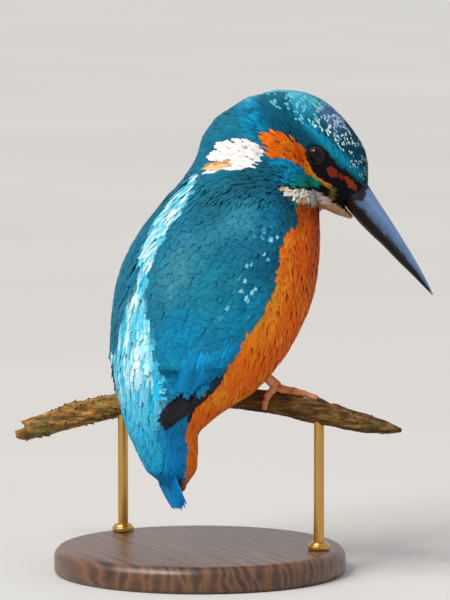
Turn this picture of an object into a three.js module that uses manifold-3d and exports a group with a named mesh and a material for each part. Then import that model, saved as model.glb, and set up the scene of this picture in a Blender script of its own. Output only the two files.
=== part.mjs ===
// Common kingfisher, a life-size still model: an adult male gripping a short cut branch, held up by
// a flat display base with two rods. Millimetres, +Z up. The bird's body faces -Y and its head is
// turned to its right, bill down. The origin is the middle of the base's underside, on the floor.
import * as THREE from "three";
import { mergeVertices } from "three/addons/utils/BufferGeometryUtils.js";
import Module from "manifold-3d";

const wasm = await Module();
wasm.setup();

// ---------- Driving sizes, mm and degrees ----------
const GAP = 0.3; // clearance between touching pieces

const PERCH = {
  middle: [0, -13], // x, y of the branch under the bird
  swing: 28, // degrees that the branch turns from square across the bird
  // distance along the branch (towards the bird's right), height and radius
  sides: 9,
  steps: 18,
  course: [
    { at: -75, z: 34.6, r: 2.9 },
    { at: -65, z: 38.0, r: 3.6 },
    { at: -47, z: 43.6, r: 3.7 },
    { at: -26, z: 47.6, r: 3.4 },
    { at: 0, z: 49.4, r: 3.2 },
    { at: 12.6, z: 49.0, r: 3.2 },
    { at: 26, z: 47.2, r: 3.3 },
    { at: 40, z: 45.4, r: 3.0 },
    { at: 49.4, z: 44.4, r: 1.8 },
    { at: 54, z: 44.0, r: 0.7 },
  ],
};

const STAND = {
  baseRadius: 42,
  baseThick: 7.5,
  edge: 1.6, // chamfer round the base's top
  rodRadius: 1.5,
  rodsAt: [-40, 27], // where the rods meet the branch, along its course
  holeDeep: 5,
  collar: { radius: 3.2, tall: 2, shoulder: 1.2, neck: 2.4 }, // it narrows from its shoulder to its neck
  sides: { base: 36, rod: 12 },
};

// The outline of the coat with the wings folded on it: at each height the y of the back line and of
// the breast line, half the width, and how far the body's own coat lies inside the wing tips.
const TRUNK = [
  { z: 24.4, back: 9.6, front: 6.0, side: 2.6, tuck: 0 },
  { z: 25.5, back: 11.6, front: 4.6, side: 4.6, tuck: 0 },
  { z: 28, back: 14.6, front: 2.8, side: 6.2, tuck: 0 },
  { z: 31, back: 17.8, front: 1.6, side: 7.2, tuck: 0 },
  { z: 38.5, back: 21.2, front: 1.4, side: 9.8, tuck: 0.3 },
  { z: 42, back: 24.9, front: -0.1, side: 13.0, tuck: 2.2 },
  { z: 45.5, back: 26.3, front: -5.3, side: 17.0, tuck: 2.9 },
  { z: 52.5, back: 26.8, front: -17.4, side: 22.0, tuck: 2.2 },
  { z: 60, back: 26.4, front: -23.8, side: 24.5, tuck: 0.8 },
  { z: 68, back: 25.2, front: -28.4, side: 26.5, tuck: 0 },
  { z: 79, back: 24.1, front: -33.9, side: 27.5, tuck: 0 },
  { z: 88, back: 21.7, front: -35.7, side: 27.2, tuck: 0 },
  { z: 98, back: 15.9, front: -36.3, side: 25.5, tuck: 0 },
  { z: 105, back: 9.7, front: -36.3, side: 23.0, tuck: 0 },
  { z: 111, back: 5.2, front: -34.2, side: 19.0, tuck: 0 },
  { z: 117, back: -1.9, front: -29.1, side: 14.0, tuck: 0 },
  { z: 122, back: -10.0, front: -26.0, side: 7.5, tuck: 0 },
];

const NECK = {
  centre: [2.5, -20.2, 119],
  radii: [16.2, 16.2, 15.6],
  nape: { from: 14.5, to: 11.2, skull: [-30, -6] }, // it runs up into the skull: radii, and where to
  rounding: { body: 8, nape: 5 }, // widths over which the neck runs into the body and into the nape
  shift: [105, 125], // heights between which the rings' middle goes over from the trunk to the neck
  lean: [122, 136], // and from the neck to the skull
  top: 136,
  foldedTop: 117,
};

const HEAD = {
  billBase: [-14.3, -43.6, 108.2], // where the bill's middle leaves the face
  heading: 44, // degrees to the bird's right of straight ahead
  down: 51.3, // degrees that the bill points below level
  // distance back from the face, middle's height above the bill line, half height and half width
  form: [
    { at: -1.5, mid: 0.2, tall: 3.6, wide: 3.6 },
    { at: 0.5, mid: 0.0, tall: 5.0, wide: 5.0 },
    { at: 3, mid: -0.1, tall: 7.1, wide: 6.5 },
    { at: 6, mid: 0.2, tall: 9.0, wide: 7.8 },
    { at: 9.5, mid: 0.1, tall: 10.4, wide: 9.0 },
    { at: 14, mid: -0.4, tall: 11.4, wide: 10.1 },
    { at: 19, mid: -0.9, tall: 11.9, wide: 10.8 },
    { at: 26, mid: -2.2, tall: 12.1, wide: 11.2 },
    { at: 32, mid: -4.4, tall: 11.4, wide: 10.8 },
    { at: 37, mid: -7.2, tall: 9.3, wide: 8.4 },
    { at: 40.5, mid: -9.2, tall: 5.4, wide: 5.0 },
    { at: 41.6, mid: -9.8, tall: 2.4, wide: 2.2 },
  ],
};

const BILL = {
  // distance from the face, height of the ridge, depth of the keel and half the width
  form: [
    { at: -5, up: 3.6, low: 3.6, wide: 3.2 },
    { at: 0, up: 4.6, low: 4.4, wide: 4.3 },
    { at: 5, up: 4.15, low: 4.3, wide: 3.8 },
    { at: 11.5, up: 3.65, low: 3.6, wide: 3.0 },
    { at: 16, up: 3.25, low: 2.8, wide: 2.5 },
    { at: 22, up: 2.6, low: 2.1, wide: 1.9 },
    { at: 28.5, up: 1.75, low: 1.15, wide: 1.3 },
    { at: 34.2, up: 0.7, low: 0.45, wide: 0.6 },
    { at: 36.3, up: 0.25, low: 0.2, wide: 0.3 },
  ],
  sides: 14,
  squareness: 1.55, // 2 is an ellipse, less is nearer a diamond
  gape: { low: -1.8, rise: 0.07 }, // height of the mouth line at the face, and its slope
};

const EYE = { back: 15.7, above: -0.1, aside: 7.2, radius: 3.8 };

// The throat's feathers run to a point under the bill: ahead and up of two ends of their middle line.
const THROAT = {
  from: [-11, -10.6],
  to: [4.8, -4.9],
  radii: [2.4, 3.2, 2.6, 1.9, 0.6],
  breadth: 1.4, // how much wider than deep
  sides: 10,
};

// A folded wing's edges: degrees round the body from the middle of the back, at each height.
const WING = [
  { z: 45, upper: 48.5, lower: 52 },
  { z: 47, upper: 45, lower: 55.5 },
  { z: 51, upper: 42, lower: 63 },
  { z: 55, upper: 38, lower: 70 },
  { z: 59, upper: 35, lower: 75 },
  { z: 64, upper: 30, lower: 77 },
  { z: 68, upper: 25, lower: 80 },
  { z: 73, upper: 21, lower: 86 },
  { z: 80, upper: 18, lower: 93 },
  { z: 85, upper: 15, lower: 99 },
  { z: 91, upper: 13, lower: 99.5 },
  { z: 97, upper: 12, lower: 101 },
  { z: 102, upper: 13, lower: 107 },
  { z: 106, upper: 17, lower: 105 },
  { z: 109, upper: 26, lower: 96 },
];
const WING_SKIN = {
  split: 61, // height of the line between the coverts and the flight feathers
  coverts: { outer: 0.6, inner: -2.4 }, // how far each lies outside and inside the outline
  flight: { outer: 0.3, inner: -1.3 },
  reach: [15, 38], // from inside the wing to outside it, measured from the trunk's middle line
  turns: 4, // steps across the wing
  every: 5.2, // and up it
};

const TAIL = {
  // middle, half width and half thickness from the root to the tip
  rings: [
    { y: 11.6, z: 35.0, wide: 4.2, thick: 1.2 },
    { y: 9.8, z: 30.0, wide: 5.0, thick: 1.2 },
    { y: 8.4, z: 25.0, wide: 6.0, thick: 1.0 },
    { y: 7.6, z: 21.4, wide: 6.5, thick: 0.9 },
    { y: 7.3, z: 19.6, wide: 5.6, thick: 0.7 },
    { y: 7.2, z: 18.8, wide: 3.6, thick: 0.5 },
  ],
  sides: 12,
};

// Where the head meets the neck and the neck the trunk: a point on the cut and the way it faces.
const HEAD_CUT = { point: [-16.2, -11.2, 122], tilt: 80 }; // degrees from the bill's line to the crown
const NECK_CUT = { point: [0, -10, 112], way: [0, -0.35, 1] };

const LEG = {
  tarsus: [1.25, 1.0, 1.35], // radius at the heel, half way and at the foot
  thigh: { low: 6.2, high: 10.8 }, // radius above the heel and at the hip
  ankleLift: 1.5, // from the bark to the end of the tarsus
  sides: { tarsus: 10, thigh: 8 },
  rounds: 3, // rings in each round end of a thigh
};
// Each foot: where it stands along the branch, its heel and the thigh's two ends, and for each toe the
// start and end along the branch from there and in degrees round it from the top, towards the front.
const FEET = {
  right: {
    at: 13,
    heel: [-10.8, -11.4, 60.4],
    thigh: [
      [-10.4, -10.8, 57.2],
      [-18.5, -6.5, 73],
    ],
    toes: {
      inner: { at: [-2.2, 1.2], round: [14, 118], radius: 0.85 },
      middle: { at: [0.4, 8.2], round: [8, 92], radius: 0.95 },
      outer: { at: [2.6, 12.0], round: [-14, 38], radius: 0.9 },
      hind: { at: [-0.6, -1.8], round: [-38, -108], radius: 0.9 },
    },
  },
  left: {
    at: -9,
    heel: [8.4, -1.6, 60.4],
    thigh: [
      [9.6, -5.4, 57.2],
      [18.5, -6.5, 73],
    ],
    toes: {
      inner: { at: [2.2, 7.0], round: [10, 96], radius: 0.85 },
      middle: { at: [0, 4.8], round: [12, 116], radius: 0.95 },
      outer: { at: [-2.3, 1.2], round: [12, 108], radius: 0.9 },
      hind: { at: [0.4, -2.6], round: [-38, -112], radius: 0.9 },
    },
  },
};
const TOE = { steps: 5, sides: 6, tip: 0.72, room: GAP + 0.1 }; // tip: how thick the end is, of 1
const CLAW = { clear: 4, turn: 34, radius: 0.62, thinning: 0.8, arch: 0.25, steps: 3, sides: 5 };

// Rings of the coat: their spacing and the points in each.
const RINGS = {
  upright: { every: 5.7, count: 22 },
  skull: { every: 3.2, count: 18 },
};

// ---------- Helpers ----------
const vec = (x, y, z) => new THREE.Vector3(x, y, z);
const radians = THREE.MathUtils.degToRad;

// A value of a table of stations at t, on a smooth curve that never overshoots.
function along(stations, by, key, t) {
  const last = stations.length - 1;
  if (t <= stations[0][by]) return stations[0][key];
  if (t >= stations[last][by]) return stations[last][key];
  let i = 0;
  while (t > stations[i + 1][by]) i++;
  const step = (j) => stations[j + 1][by] - stations[j][by];
  const slope = (j) => (stations[j + 1][key] - stations[j][key]) / step(j);
  const tangent = (j) => {
    if (j === 0) return slope(0);
    if (j === last) return slope(last - 1);
    const before = slope(j - 1);
    const after = slope(j);
    return before * after <= 0 ? 0 : (2 * before * after) / (before + after);
  };
  const h = step(i);
  const u = (t - stations[i][by]) / h;
  const from = stations[i][key];
  const rise = stations[i + 1][key] - from;
  const m0 = tangent(i) * h;
  const m1 = tangent(i + 1) * h;
  return from + m0 * u + (3 * rise - 2 * m0 - m1) * u * u + (m0 + m1 - 2 * rise) * u ** 3;
}

// The smaller of two distances, rounded over a width k where they meet.
function blend(a, b, k) {
  const h = Math.max(k - Math.abs(a - b), 0) / k;
  return Math.min(a, b) - (h * h * k) / 4;
}

// A closed mesh as a solid. Flat triangles at a pole are left out, and an inside-out mesh is turned.
function solid(geometry) {
  const g = geometry.clone();
  for (const name of Object.keys(g.attributes)) if (name !== "position") g.deleteAttribute(name);
  const merged = mergeVertices(g, 1e-4);
  const points = merged.attributes.position;
  const corner = (i) => vec(0, 0, 0).fromBufferAttribute(points, i);
  const faces = [];
  let volume = 0;
  for (let i = 0; i < merged.index.count; i += 3) {
    const [a, b, c] = merged.index.array.slice(i, i + 3);
    if (a === b || b === c || c === a) continue;
    faces.push([a, b, c]);
    volume += corner(a).dot(corner(b).cross(corner(c)));
  }
  const triVerts = new Uint32Array(faces.flatMap((f) => (volume > 0 ? f : f.reverse())));
  return new wasm.Manifold(
    new wasm.Mesh({ numProp: 3, vertProperties: points.array, triVerts }),
  );
}

function geometryOf(manifold) {
  const m = manifold.getMesh();
  return new THREE.BufferGeometry()
    .setAttribute("position", new THREE.BufferAttribute(new Float32Array(m.vertProperties), 3))
    .setIndex(new THREE.BufferAttribute(new Uint32Array(m.triVerts), 1));
}

// How far out from a point, along a way, a field rises past a level; most is the furthest looked at.
function reachOf(field, from, way, level, most) {
  const at = (d) => field(from.x + way.x * d, from.y + way.y * d, from.z + way.z * d) - level;
  const stride = 1.2;
  const halvings = 14;
  const least = 0.05;
  let far = 0;
  while (far < most && at(far) < 0) far += stride;
  if (far >= most) return most;
  let near = Math.max(far - stride, 0);
  for (let i = 0; i < halvings; i++) {
    const middle = (near + far) / 2;
    if (at(middle) < 0) near = middle;
    else far = middle;
  }
  return Math.max(near, least);
}

// A ring of points where a field has a level, round a middle point, in the plane of two ways.
function fieldRing(field, middle, along1, along2, count, level, most) {
  return Array.from({ length: count }, (_, k) => {
    const a = (2 * Math.PI * k) / count;
    const way = along1.clone().multiplyScalar(Math.cos(a)).addScaledVector(along2, Math.sin(a));
    return middle.clone().addScaledVector(way, reachOf(field, middle, way, level, most));
  });
}

// A closed tube through rings of points, each ring the same length, with a point at each end.
function loft(rings) {
  const sides = rings[0].length;
  const points = rings.flat().flatMap((p) => [p.x, p.y, p.z]);
  const middle = (ring) => ring.reduce((s, p) => s.add(p), vec(0, 0, 0)).divideScalar(sides);
  const first = middle(rings[0]);
  const last = middle(rings[rings.length - 1]);
  const firstIndex = points.length / 3;
  points.push(first.x, first.y, first.z, last.x, last.y, last.z);
  const faces = [];
  for (let i = 0; i < sides; i++) {
    const j = (i + 1) % sides;
    faces.push(firstIndex, j, i);
    for (let r = 0; r < rings.length - 1; r++) {
      const a = r * sides;
      const b = a + sides;
      faces.push(a + i, a + j, b + j, a + i, b + j, b + i);
    }
    const end = (rings.length - 1) * sides;
    faces.push(firstIndex + 1, end + i, end + j);
  }
  return new THREE.BufferGeometry()
    .setAttribute("position", new THREE.BufferAttribute(new Float32Array(points), 3))
    .setIndex(faces);
}

// A round tube along points, with a radius at each. The first ring is turned so that it stays square.
function tube(points, radii, sides) {
  const steep = 0.9;
  let normal = null;
  const rings = points.map((p, i) => {
    const ahead = points[Math.min(i + 1, points.length - 1)];
    const behind = points[Math.max(i - 1, 0)];
    const tangent = ahead.clone().sub(behind).normalize();
    if (!normal) normal = Math.abs(tangent.z) < steep ? vec(0, 0, 1) : vec(1, 0, 0);
    normal = normal.clone().addScaledVector(tangent, -normal.dot(tangent)).normalize();
    const side = tangent.clone().cross(normal);
    return Array.from({ length: sides }, (_, k) => {
      const a = (2 * Math.PI * k) / sides;
      return p
        .clone()
        .addScaledVector(normal, radii[i] * Math.cos(a))
        .addScaledVector(side, radii[i] * Math.sin(a));
    });
  });
  return loft(rings);
}

const root = new THREE.Group();
function add(name, manifold, material) {
  const mesh = new THREE.Mesh(geometryOf(manifold), material);
  mesh.name = name;
  root.add(mesh);
  return mesh;
}

const finish = (color, roughness, metalness = 0) =>
  new THREE.MeshStandardMaterial({ color, roughness, metalness });
const CROWN = finish("#1b6f86", 0.6);
const AZURE = finish("#3cc4de", 0.55);
const TEAL = finish("#14718c", 0.6);
const RUFOUS = finish("#d8631a", 0.75);
const QUILL = finish("#1d2b38", 0.55);
const HORN = finish("#15171c", 0.35);
const EYE_DARK = finish("#0b0806", 0.05);
const FOOT = finish("#d08a5c", 0.5);
const CLAW_HORN = finish("#4a3a30", 0.4);
const BARK = finish("#7a5a2c", 0.85);
const BASE_WOOD = finish("#3a2a20", 0.45);
const BRASS = finish("#b08d4c", 0.3, 1);

// ---------- The coat's outer form ----------
const trunkMiddle = (z) => (along(TRUNK, "z", "back", z) + along(TRUNK, "z", "front", z)) / 2;

// The outline with the wings folded on it.
function foldedField(x, y, z) {
  const back = along(TRUNK, "z", "back", z);
  const front = along(TRUNK, "z", "front", z);
  const side = along(TRUNK, "z", "side", z);
  const depth = (back - front) / 2;
  const q = Math.hypot(x / side, (y - (back + front) / 2) / depth);
  const round = (q - 1) * Math.min(side, depth);
  return Math.max(round, TRUNK[0].z - z, z - TRUNK[TRUNK.length - 1].z);
}

const neckMiddle = vec(...NECK.centre);
function neckField(x, y, z) {
  const [rx, ry, rz] = NECK.radii;
  const off = vec(x, y, z).sub(neckMiddle);
  return (Math.hypot(off.x / rx, off.y / ry, off.z / rz) - 1) * Math.min(rx, ry, rz);
}

const billBase = vec(...HEAD.billBase);
const yaw = radians(HEAD.heading);
const pitch = radians(HEAD.down);
const level = vec(-Math.sin(yaw), -Math.cos(yaw), 0);
const billWay = level.clone().multiplyScalar(Math.cos(pitch)).add(vec(0, 0, -Math.sin(pitch)));
const crownWay = level.clone().multiplyScalar(Math.sin(pitch)).add(vec(0, 0, Math.cos(pitch)));
const cheekWay = billWay.clone().cross(crownWay); // the bird's right
const inHead = (ahead, up, right) =>
  billBase
    .clone()
    .addScaledVector(billWay, ahead)
    .addScaledVector(crownWay, up)
    .addScaledVector(cheekWay, right);

// The nape is a thick rod from the neck's middle up into the skull.
const skullMiddle = inHead(...NECK.nape.skull, 0);
const napeRun = skullMiddle.clone().sub(neckMiddle);
function napeField(x, y, z) {
  const off = vec(x, y, z).sub(neckMiddle);
  const k = THREE.MathUtils.clamp(off.dot(napeRun) / napeRun.lengthSq(), 0, 1);
  const radius = THREE.MathUtils.lerp(NECK.nape.from, NECK.nape.to, k);
  return off.addScaledVector(napeRun, -k).length() - radius;
}

// The upright part of the coat; tucked is 1 for the body's own and 0 with the wings on it.
function uprightField(x, y, z, tucked) {
  const { rounding } = NECK;
  const body = foldedField(x, y, z) + tucked * along(TRUNK, "z", "tuck", z);
  return blend(blend(body, neckField(x, y, z), rounding.body), napeField(x, y, z), rounding.nape);
}
const bodyCoat = (x, y, z) => uprightField(x, y, z, 1);
const foldedCoat = (x, y, z) => uprightField(x, y, z, 0);

// A slab wider than the model, from one distance to another along way from a point. A half space is
// a slab that goes on to FAR.
const FAR = 200;
function slab(point, way, from, to) {
  const wide = 260;
  const turn = new THREE.Quaternion().setFromUnitVectors(vec(0, 0, 1), way.clone().normalize());
  const box = new THREE.BoxGeometry(wide, wide, to - from).translate(0, 0, (from + to) / 2);
  return solid(box.applyQuaternion(turn).translate(point.x, point.y, point.z));
}
const headCut = vec(...HEAD_CUT.point);
const headCutWay = billWay
  .clone()
  .multiplyScalar(Math.cos(radians(HEAD_CUT.tilt)))
  .addScaledVector(crownWay, Math.sin(radians(HEAD_CUT.tilt)));
const neckCut = vec(...NECK_CUT.point);
const neckCutWay = vec(...NECK_CUT.way);

// ---------- Perch ----------
const swing = radians(PERCH.swing);
const branchWay = vec(-Math.cos(swing), -Math.sin(swing), 0);
const branchFront = vec(0, 0, 1).cross(branchWay); // level, square to it, towards the bird's front
const branchPoint = (at) =>
  vec(...PERCH.middle, along(PERCH.course, "at", "z", at)).addScaledVector(branchWay, at);
// A point outside the bark: degrees round from the top towards the front, and millimetres off it.
const onBranch = (at, round, off) => {
  const reach = along(PERCH.course, "at", "r", at) + off;
  return branchPoint(at)
    .add(vec(0, 0, reach * Math.cos(radians(round))))
    .addScaledVector(branchFront, reach * Math.sin(radians(round)));
};
function branchSolid(grow) {
  const { course, steps, sides } = PERCH;
  const ats = Array.from({ length: steps + 1 }, (_, i) =>
    THREE.MathUtils.lerp(course[0].at, course[course.length - 1].at, i / steps),
  );
  const radii = ats.map((t) => along(course, "at", "r", t) + grow);
  return solid(tube(ats.map(branchPoint), radii, sides));
}

// ---------- Stand ----------
const rodTops = STAND.rodsAt.map(branchPoint);
const rodSolid = (top, radius, from, to) =>
  solid(
    new THREE.CylinderGeometry(radius, radius, to - from, STAND.sides.rod)
      .rotateX(Math.PI / 2)
      .translate(top.x, top.y, (from + to) / 2),
  );
{
  const { baseRadius, baseThick, edge, rodRadius, holeDeep, collar, sides } = STAND;
  const drillPast = 1; // a drill starts above the base's top
  const drillUnder = 10; // and below the branch
  const profile = [
    [0, 0],
    [baseRadius, 0],
    [baseRadius, baseThick - edge],
    [baseRadius - edge, baseThick],
    [0, baseThick],
  ];
  const disc = new THREE.LatheGeometry(
    profile.map(([r, z]) => new THREE.Vector2(r, z)),
    sides.base,
  );
  let base = solid(disc.rotateX(Math.PI / 2));
  let branch = branchSolid(0);
  const holeFloor = baseThick - holeDeep;
  for (const [i, top] of rodTops.entries()) {
    base = base.subtract(rodSolid(top, rodRadius + GAP, holeFloor, baseThick + drillPast));
    branch = branch.subtract(rodSolid(top, rodRadius + GAP, top.z - drillUnder, top.z));
    add(`stand_rod_${i + 1}`, rodSolid(top, rodRadius, holeFloor + GAP, top.z - GAP), BRASS);
    const ring = [
      [rodRadius + GAP, 0],
      [collar.radius, 0],
      [collar.radius, collar.shoulder],
      [collar.neck, collar.tall],
      [rodRadius + GAP, collar.tall],
      [rodRadius + GAP, 0],
    ];
    const washer = new THREE.LatheGeometry(
      ring.map(([r, z]) => new THREE.Vector2(r, z)),
      sides.rod,
    );
    washer.rotateX(Math.PI / 2).translate(top.x, top.y, baseThick + GAP);
    add(`stand_collar_${i + 1}`, solid(washer), BRASS);
  }
  add("stand_base", base, BASE_WOOD);
  add("branch", branch, BARK);
}

// ---------- Bill ----------
function billSolid(grow) {
  const { form, sides, squareness } = BILL;
  const rings = form.map((s) =>
    Array.from({ length: sides }, (_, k) => {
      const a = (2 * Math.PI * k) / sides;
      const round = (v) => Math.sign(v) * Math.abs(v) ** (2 / squareness);
      const tall = (Math.sin(a) > 0 ? s.up : s.low) + grow;
      return inHead(s.at, round(Math.sin(a)) * tall, -round(Math.cos(a)) * (s.wide + grow));
    }),
  );
  return solid(loft(rings));
}
const gape = inHead(0, BILL.gape.low, 0);
const gapeWay = crownWay.clone().addScaledVector(billWay, -BILL.gape.rise);
add("bill_upper", billSolid(0).intersect(slab(gape, gapeWay, GAP / 2, FAR)), HORN);
add("bill_lower", billSolid(0).intersect(slab(gape, gapeWay, -FAR, -GAP / 2)), HORN);

// ---------- Eyes ----------
const eyeSolid = (side, grow) => {
  const p = inHead(-EYE.back, EYE.above, side * EYE.aside);
  return solid(new THREE.SphereGeometry(EYE.radius + grow, 12, 8).translate(p.x, p.y, p.z));
};
add("eye_right", eyeSolid(1, 0), EYE_DARK);
add("eye_left", eyeSolid(-1, 0), EYE_DARK);

// ---------- Trunk and neck: rings one above the other ----------
const east = vec(1, 0, 0);
const north = vec(0, 1, 0);
const spaced = (from, to, every) => {
  const steps = Math.round((to - from) / every);
  return Array.from({ length: steps + 1 }, (_, i) => THREE.MathUtils.lerp(from, to, i / steps));
};
const firstOf = (stations) => stations[0];
const lastOf = (stations) => stations[stations.length - 1];
function uprightSolid(field, offset, top) {
  const { every, count } = RINGS.upright;
  const inside = 0.05; // the lowest ring lies just inside the form's foot
  const widest = 50;
  const rings = spaced(firstOf(TRUNK).z + inside, top, every).map((z) => {
    const share = THREE.MathUtils.smoothstep(z, ...NECK.shift);
    const lean = THREE.MathUtils.smoothstep(z, ...NECK.lean);
    const middle = vec(0, trunkMiddle(z), z)
      .lerp(neckMiddle.clone().setZ(z), share)
      .lerp(skullMiddle.clone().setZ(z), lean);
    return fieldRing(field, middle, east, north, count, offset, widest);
  });
  return solid(loft(rings));
}

// ---------- Head and neck ----------
const { form } = HEAD;
const skullRings = spaced(firstOf(form).at, lastOf(form).at, RINGS.skull.every).map((t) => {
  const tall = along(form, "at", "tall", t);
  const wide = along(form, "at", "wide", t);
  const mid = along(form, "at", "mid", t);
  const { count } = RINGS.skull;
  return Array.from({ length: count }, (_, k) => {
    const a = (2 * Math.PI * k) / count;
    return inHead(-t, mid + tall * Math.cos(a), wide * Math.sin(a));
  });
});
const chin = THROAT.radii.map((radius, i) => {
  const { sides, breadth } = THROAT;
  const share = i / (THROAT.radii.length - 1);
  const ahead = THREE.MathUtils.lerp(THROAT.from[0], THROAT.to[0], share);
  const up = THREE.MathUtils.lerp(THROAT.from[1], THROAT.to[1], share);
  return Array.from({ length: sides }, (_, k) => {
    const a = (2 * Math.PI * k) / sides;
    return inHead(ahead, up + radius * Math.cos(a), -breadth * radius * Math.sin(a));
  });
});
const upright = uprightSolid(bodyCoat, 0, NECK.top);
const bodyWithHead = upright.add(solid(loft(skullRings))).add(solid(loft(chin)));
const overNeck = bodyWithHead.intersect(slab(neckCut, neckCutWay, GAP / 2, FAR));
let head = overNeck.intersect(slab(headCut, headCutWay, GAP / 2, FAR)).subtract(billSolid(GAP));
head = head.subtract(eyeSolid(1, GAP)).subtract(eyeSolid(-1, GAP));
add("head", head, CROWN);
add("neck", overNeck.intersect(slab(headCut, headCutWay, -FAR, -GAP / 2)), TEAL);

// ---------- Wings ----------
// The space between a folded wing's edges, from inside the body out past the coat.
function wingSector(side, grow) {
  const { turns, every } = WING_SKIN;
  const [inner, outer] = WING_SKIN.reach;
  const slack = THREE.MathUtils.radToDeg(grow / ((inner + outer) / 2));
  const heights = spaced(firstOf(WING).z, lastOf(WING).z, every);
  const rings = heights.map((z, i) => {
    const upper = along(WING, "z", "upper", z) - slack;
    const lower = along(WING, "z", "lower", z) + slack;
    const rise = i === 0 ? -grow : i === heights.length - 1 ? grow : 0;
    const point = (reach, share) => {
      const turn = radians(THREE.MathUtils.lerp(upper, lower, share));
      const out = trunkMiddle(z) + reach * Math.cos(turn);
      return vec(-side * reach * Math.sin(turn), out, z + rise);
    };
    const shares = Array.from({ length: turns + 1 }, (_, k) => k / turns);
    return [
      ...shares.map((share) => point(inner, share)),
      ...shares.map((share) => point(outer, 1 - share)),
    ];
  });
  return solid(loft(rings));
}
const foldedSolid = (offset) => uprightSolid(foldedCoat, offset, NECK.foldedTop);
const { coverts, flight, split } = WING_SKIN;
const overSplit = slab(vec(0, 0, split), vec(0, 0, 1), GAP / 2, FAR);
const underSplit = slab(vec(0, 0, split), vec(0, 0, 1), -FAR, -GAP / 2);
const belowNeck = slab(neckCut, neckCutWay, -FAR, -GAP / 2);
const covertSkin = foldedSolid(coverts.outer).subtract(foldedSolid(coverts.inner));
const flightSkin = foldedSolid(flight.outer).subtract(foldedSolid(flight.inner));
for (const [side, name] of [
  [1, "right"],
  [-1, "left"],
]) {
  const sector = wingSector(side, 0);
  add(`wing_${name}`, covertSkin.intersect(sector).intersect(overSplit).intersect(belowNeck), TEAL);
  add(`wing_${name}_flight`, flightSkin.intersect(sector).intersect(underSplit), QUILL);
}
const outsideInner = foldedSolid(coverts.inner - GAP);

// ---------- Tail ----------
function tailSolid(grow) {
  const { sides } = TAIL;
  const rings = TAIL.rings.map((s, i) => {
    const end = i === 0 ? grow : i === TAIL.rings.length - 1 ? -grow : 0;
    return Array.from({ length: sides }, (_, k) => {
      const a = (2 * Math.PI * k) / sides;
      return vec(
        -Math.cos(a) * (s.wide + grow),
        s.y + Math.sin(a) * (s.thick + grow),
        s.z + end,
      );
    });
  });
  return solid(loft(rings));
}
add("tail", tailSolid(0), AZURE);

// ---------- Legs and feet ----------
// The middle line and the radii of a toe that lies round the bark.
function toePath(foot, toe) {
  const points = [];
  const radii = [];
  for (let i = 0; i <= TOE.steps; i++) {
    const k = i / TOE.steps;
    const radius = toe.radius * THREE.MathUtils.lerp(1, TOE.tip, k);
    const at = foot.at + THREE.MathUtils.lerp(...toe.at, k);
    points.push(onBranch(at, THREE.MathUtils.lerp(...toe.round, k), GAP + radius));
    radii.push(radius);
  }
  return { points, radii };
}
// A claw goes on round the bark from a toe's tip, arches off it, and turns its point in to it.
function clawPath(foot, toe) {
  const { clear, turn, thinning, arch } = CLAW; // clear and turn are degrees round the bark
  const points = [];
  const radii = [];
  const way = Math.sign(toe.round[1] - toe.round[0]);
  const drift = ((toe.at[1] - toe.at[0]) / Math.abs(toe.round[1] - toe.round[0])) * turn;
  for (let i = 0; i <= CLAW.steps; i++) {
    const k = i / CLAW.steps;
    const radius = CLAW.radius * (1 - thinning * k);
    const round = toe.round[1] + way * (clear + turn * k);
    const lift = GAP + CLAW.radius + arch * Math.sin(Math.PI * k) - (CLAW.radius - radius) * k;
    points.push(onBranch(foot.at + toe.at[1] + drift * k, round, lift));
    radii.push(radius);
  }
  return { points, radii };
}
const tubeSolid = ({ points, radii }, sides, grow = 0) => {
  const grown = radii.map((r) => r + grow);
  return solid(tube(points, grown, sides));
};
// A thigh is a rod with round ends, thicker at the hip.
function thighRod([low, high], grow) {
  const { rounds, sides } = LEG;
  const pole = 0.2; // radius at the very end
  const way = high.clone().sub(low).normalize();
  const points = [];
  const radii = [];
  for (const [end, outward, radius] of [
    [low, -1, LEG.thigh.low + grow],
    [high, 1, LEG.thigh.high + grow],
  ]) {
    for (let i = 0; i <= rounds; i++) {
      const turn = (Math.PI / 2) * (outward > 0 ? i / rounds : 1 - i / rounds);
      points.push(end.clone().addScaledVector(way, outward * radius * Math.sin(turn)));
      radii.push(Math.max(radius * Math.cos(turn), pole));
    }
  }
  return solid(tube(points, radii, sides.thigh));
}

const barkGrown = branchSolid(GAP);
let body = bodyWithHead.intersect(belowNeck).subtract(barkGrown).subtract(tailSolid(GAP));
for (const side of [1, -1]) body = body.subtract(wingSector(side, GAP).subtract(outsideInner));
let trunk = body;
for (const [name, foot] of Object.entries(FEET)) {
  const heel = vec(...foot.heel);
  const ankle = onBranch(foot.at, 0, LEG.ankleLift);
  const shin = { points: [heel, heel.clone().lerp(ankle, 0.5), ankle], radii: LEG.tarsus };
  const shinRoom = tubeSolid(shin, LEG.sides.tarsus, GAP);
  const ends = foot.thigh.map((p) => vec(...p));
  let tarsus = tubeSolid(shin, LEG.sides.tarsus).subtract(barkGrown);
  let thigh = body.intersect(thighRod(ends, 0)).subtract(shinRoom);
  trunk = trunk.subtract(thighRod(ends, GAP)).subtract(shinRoom);
  for (const [toeName, toe] of Object.entries(foot.toes)) {
    const path = toePath(foot, toe);
    const room = tubeSolid(path, TOE.sides, TOE.room);
    add(`toe_${name}_${toeName}`, tubeSolid(path, TOE.sides), FOOT);
    add(`claw_${name}_${toeName}`, tubeSolid(clawPath(foot, toe), CLAW.sides).subtract(room), CLAW_HORN);
    tarsus = tarsus.subtract(room);
    thigh = thigh.subtract(room);
    trunk = trunk.subtract(room);
  }
  add(`tarsus_${name}`, tarsus, FOOT);
  add(`thigh_${name}`, thigh, RUFOUS);
}

// ---------- Trunk: what the wings, tail, thighs, feet and branch leave of the body ----------
add("trunk", trunk, RUFOUS);

export default root;
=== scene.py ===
import heapq
import itertools
import math

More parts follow.
